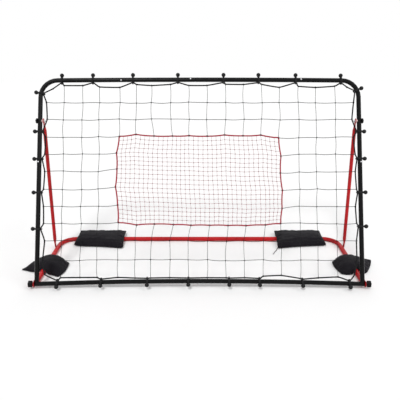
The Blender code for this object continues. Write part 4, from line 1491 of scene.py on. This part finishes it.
        remesh = item.modifiers.new("Voxels", "REMESH")
        remesh.mode = "VOXEL"
        remesh.voxel_size = self.voxel
        data = evaluated()
        item.modifiers.clear()
        item.data = data
        start = [vert.co.copy() for vert in data.vertices]
        line = self.seam_line()
        hem = kdtree.KDTree(len(line))
        for index, place in enumerate(line):
            hem.insert(place, index)
        hem.balance()
        pins = item.vertex_groups.new(name="pins")
        for index, place in enumerate(start):
            if place.z < self.ground(place) + self.pin_height or hem.find(place)[2] < self.pin_reach:
                pins.add([index], 1.0, "REPLACE")
        cloth = item.modifiers.new("Cloth", "CLOTH")
        cloth.settings.effector_weights.gravity = 0.0
        settings = {"use_pressure": True, "uniform_pressure_force": 4.0, "vertex_group_mass": "pins",
                    "tension_stiffness": 25.0, "compression_stiffness": 25.0,
                    "bending_stiffness": 0.8, "shrink_min": -0.03}
        for key, value in settings.items():
            setattr(cloth.settings, key, value)
        cloth.point_cache.frame_start, cloth.point_cache.frame_end = 1, self.frames
        for number in range(1, self.frames + 1):
            bpy.context.scene.frame_set(number)
        settled = evaluated()
        item.modifiers.clear()
        for vert, place in zip(settled.vertices, start):
            move = vert.co - place
            if move.length > self.swell:
                vert.co = place + move * (self.swell / move.length)
            vert.co.z = max(vert.co.z, self.ground(vert.co) * self.sink, self.least_height)
        item.data = settled
        bpy.context.scene.frame_set(1)

    def build(self) -> Piece:
        """Fill the bag and sew its edge.

        Returns:
            The piece.
        """
        item = put_up(self.name, mesh_data(self.name, self.slab()))
        self.settle(item)
        shape = bmesh.new()
        shape.from_mesh(item.data)
        bpy.data.objects.remove(item)
        gather(shape, swept(self.seam_line(), self.hem, sides=8, closed=True, flat=self.hem_flat), 1)
        cloth = Slot.BAG_CLOTH.value
        piece = publish(self.name, shape, "base", Slot.BAG_CLOTH, "weight_" + self.name,
                        [cloth, SewnHem("bag_hem", cloth.tone)])
        smoother = piece.modifiers.new("Subdivision", "SUBSURF")
        smoother.levels = smoother.render_levels = 1
        return piece


@dataclass
class BagString:
    """The loose end of the thin string that closes the right rear bag, lying on the floor."""

    line: SoftLine = SoftLine(((0.5215, 0.1600, 0.0105), (0.5095, 0.1480, 0.0100), (0.5060, 0.1420, 0.0092),
                               (0.5020, 0.1350, 0.0058), (0.4975, 0.1270, 0.0026), (0.4925, 0.1170, 0.0021),
                               (0.4860, 0.1080, 0.0021), (0.4815, 0.0970, 0.0021), (0.4770, 0.0860, 0.0021),
                               (0.4705, 0.0780, 0.0021), (0.4680, 0.0690, 0.0021)))
    radius: float = 0.0019
    pieces: int = 26

    def build(self) -> Piece:
        """Lay the string from the bag's corner to the floor.

        Returns:
            The piece.
        """
        path = [self.line.at(step / self.pieces) for step in range(self.pieces + 1)]
        finish = LaidTwine("bag_string", (0.022, 0.005, 0.008), 2, 0.0045, 0.0003)
        shape = bmesh.new()
        gather(shape, swept(path, self.radius, sides=8))
        piece = publish("bag_string", shape, "base", Slot.BAG_CLOTH, finishes=[finish])
        return piece


@dataclass
class Studio:
    """The camera, the pale floor and the soft light."""

    eye: tuple = (0.0025, -2.7127, 1.402)
    pitch: float = math.radians(20.36)
    lens: float = 43.77
    sensor: float = 36.0
    floor_reach: float = 9.0
    sky: float = 0.47
    suns: tuple = (("key", (-0.22, -0.78, 1.0), 12.0, 1.60), ("fill", (0.80, -0.55, 0.85), 40.0, 0.85),
                   ("back", (0.15, 0.90, 0.60), 50.0, 0.35))

    def place_camera(self) -> None:
        """Put the camera where the picture was taken from."""
        data = bpy.data.cameras.new("camera")
        data.lens, data.sensor_width = self.lens, self.sensor
        item = put_up("camera", data)
        item.location = self.eye
        item.rotation_euler = (math.pi / 2 - self.pitch, 0, 0)
        bpy.context.scene.camera = item

    def lay_floor(self) -> None:
        """Lay a plain white floor."""
        shape = bmesh.new()
        bmesh.ops.create_grid(shape, x_segments=1, y_segments=1, size=self.floor_reach)
        item = put_up("floor", mesh_data("floor", shape))
        bench = Bench(bpy.data.materials.new("floor"))
        item.data.materials.append(bench.done(Base_Color=(0.93, 0.93, 0.93, 1), Roughness=0.9,
                                              Specular_IOR_Level=0.1))

    def hang_sun(self, name: str, source: tuple, spread: float, strength: float) -> None:
        """Add a wide soft light that shines evenly over the whole scene.

        Args:
            name: its name.
            source: the direction that it comes from.
            spread: how wide it is, in degrees.
            strength: its strength.
        """
        data = bpy.data.lights.new(name, "SUN")
        data.angle, data.energy = math.radians(spread), strength
        put_up(name, data).rotation_euler = Vector(source).to_track_quat("Z", "Y").to_euler()

    def light(self) -> None:
        """Light the object softly before a background that looks white."""
        for sun in self.suns:
            self.hang_sun(*sun)
        world = bpy.data.worlds.new("studio")
        bpy.context.scene.world = world
        bench = Bench(world)
        bench.tree.nodes.clear()
        rays = bench.add("ShaderNodeLightPath").outputs
        seen = bench.maths("MAXIMUM", rays["Is Camera Ray"], rays["Is Glossy Ray"])
        seen = bench.maths("MAXIMUM", seen, rays["Is Transmission Ray"])
        soft, white = (bench.add("ShaderNodeBackground", {"Color": (1.0, 1.0, 1.0, 1), "Strength": strength})
                       for strength in (self.sky, 1.0))
        mix = bench.add("ShaderNodeMixShader", {0: seen, 1: soft.outputs[0], 2: white.outputs[0]})
        bench.add("ShaderNodeOutputWorld", {"Surface": mix.outputs[0]})
        bpy.context.scene.view_settings.view_transform = "Standard"


def dress_nodes() -> None:
    """Give every CAD node that stays its finish, by the slot that the record names."""
    finishes = {slot.value.name: slot.value for slot in Slot}
    for part in frame["record"]["subparts"]:
        material = material_of(finishes[part["material_slot"]])
        for place in frame["nodes"][part["node"]].material_slots:
            place.material = material
    LOG.info("finishes laid on %d nodes", len(frame["nodes"]))


def sand_bags() -> list:
    """List the four bags with the outlines that they cover on the floor.

    Returns:
        The bags.
    """
    lying = ((-0.125, 0.036), (-0.100, 0.0450), (-0.091, 0.0350), (-0.080, 0.0455), (-0.010, 0.0505),
             (0.055, 0.0470), (0.115, 0.0340))
    tent = ((-0.135, 0.013), (-0.085, 0.030), (-0.040, 0.048), (-0.008, 0.059), (0.020, 0.063),
            (0.050, 0.060), (0.080, 0.048), (0.105, 0.030), (0.125, 0.017))
    mirrored = tuple((-place, height) for place, height in reversed(tent))
    rear_left = (
        ((-0.829, 0.193, 0.008), (-0.777, 0.180, 0.008), (-0.662, 0.172, 0.008)),
        ((-0.500, 0.148, 0.009), (-0.506, 0.215, 0.021), (-0.509, 0.2753, 0.0310), (-0.510, 0.330, 0.025)),
        ((-0.512, 0.389, 0.019), (-0.670, 0.387, 0.021)),
        ((-0.826, 0.390, 0.020), (-0.8205, 0.330, 0.026), (-0.8165, 0.2753, 0.0310), (-0.8225, 0.235, 0.022)))
    rear_right = (
        ((0.508, 0.146, 0.009), (0.655, 0.173, 0.008), (0.760, 0.183, 0.008)),
        ((0.834, 0.190, 0.008), (0.8265, 0.235, 0.022), (0.8195, 0.2753, 0.0310), (0.8245, 0.330, 0.026)),
        ((0.831, 0.390, 0.020), (0.680, 0.387, 0.021)),
        ((0.517, 0.389, 0.019), (0.5155, 0.330, 0.025), (0.5155, 0.2753, 0.0310), (0.512, 0.215, 0.021)))
    side_left = (
        ((-1.060, -0.139, 0.006), (-1.031, -0.147, 0.005), (-0.997, -0.163, 0.006), (-0.966, -0.171, 0.010),
         (-0.941, -0.170, 0.022), (-0.920, -0.173, 0.031), (-0.903, -0.184, 0.024), (-0.893, -0.190, 0.007),
         (-0.858, -0.203, 0.005)),
        ((-0.819, -0.225, 0.005), (-0.799, -0.172, 0.006), (-0.796, -0.113, 0.008)),
        ((-0.797, -0.066, 0.010), (-0.830, -0.042, 0.014), (-0.872, -0.030, 0.025), (-0.920, -0.026, 0.031),
         (-0.970, -0.038, 0.022)),
        ((-1.016, -0.064, 0.010), (-1.028, -0.086, 0.008), (-1.046, -0.122, 0.006)))
    side_right = (
        ((0.832, -0.189, 0.005), (0.857, -0.197, 0.005), (0.887, -0.197, 0.006), (0.902, -0.192, 0.020),
         (0.920, -0.174, 0.031), (0.938, -0.167, 0.022), (0.952, -0.178, 0.008), (0.969, -0.186, 0.006)),
        ((0.988, -0.172, 0.005), (1.013, -0.130, 0.006), (1.038, -0.080, 0.007)),
        ((1.056, -0.032, 0.009), (1.020, -0.024, 0.014), (0.970, -0.020, 0.025), (0.925, -0.018, 0.031),
         (0.880, -0.022, 0.026), (0.840, -0.034, 0.014)),
        ((0.811, -0.050, 0.008), (0.810, -0.100, 0.006), (0.819, -0.150, 0.005)))
    across, ahead = (1, 0), (0, -1)
    rear_tube, left_tube, right_tube = (0, 0.2753), (-0.920, 0), (0.920, 0)
    boxy, soft = (9, 9), (7, 5)
    return [SandBag("bag_rear_left", rear_left, across, rear_tube, seed=1, crown=lying, square=boxy),
            SandBag("bag_rear_right", rear_right, across, rear_tube, seed=2, crown=lying, square=boxy),
            SandBag("bag_side_left", side_left, ahead, left_tube, seed=3, crown=tent, square=soft),
            SandBag("bag_side_right", side_right, ahead, right_tube, seed=4, crown=mirrored, square=soft)]


def main() -> None:
    """Build and dress every piece in order."""
    logging.basicConfig(level=logging.INFO, format="%(name)s: %(message)s")
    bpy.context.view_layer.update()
    studio = Studio()
    studio.place_camera()
    studio.lay_floor()
    studio.light()
    dress_nodes()
    net = KnottedNet()
    net.build_twine()
    net.build_rope()
    panel = TargetPanel(net)
    panel.build_mesh()
    panel.build_rope()
    panel.build_lacing()
    BallTie().build_all()
    for bag in sand_bags():
        bag.build()
    BagString().build()


if __name__ == "__main__":
    main()
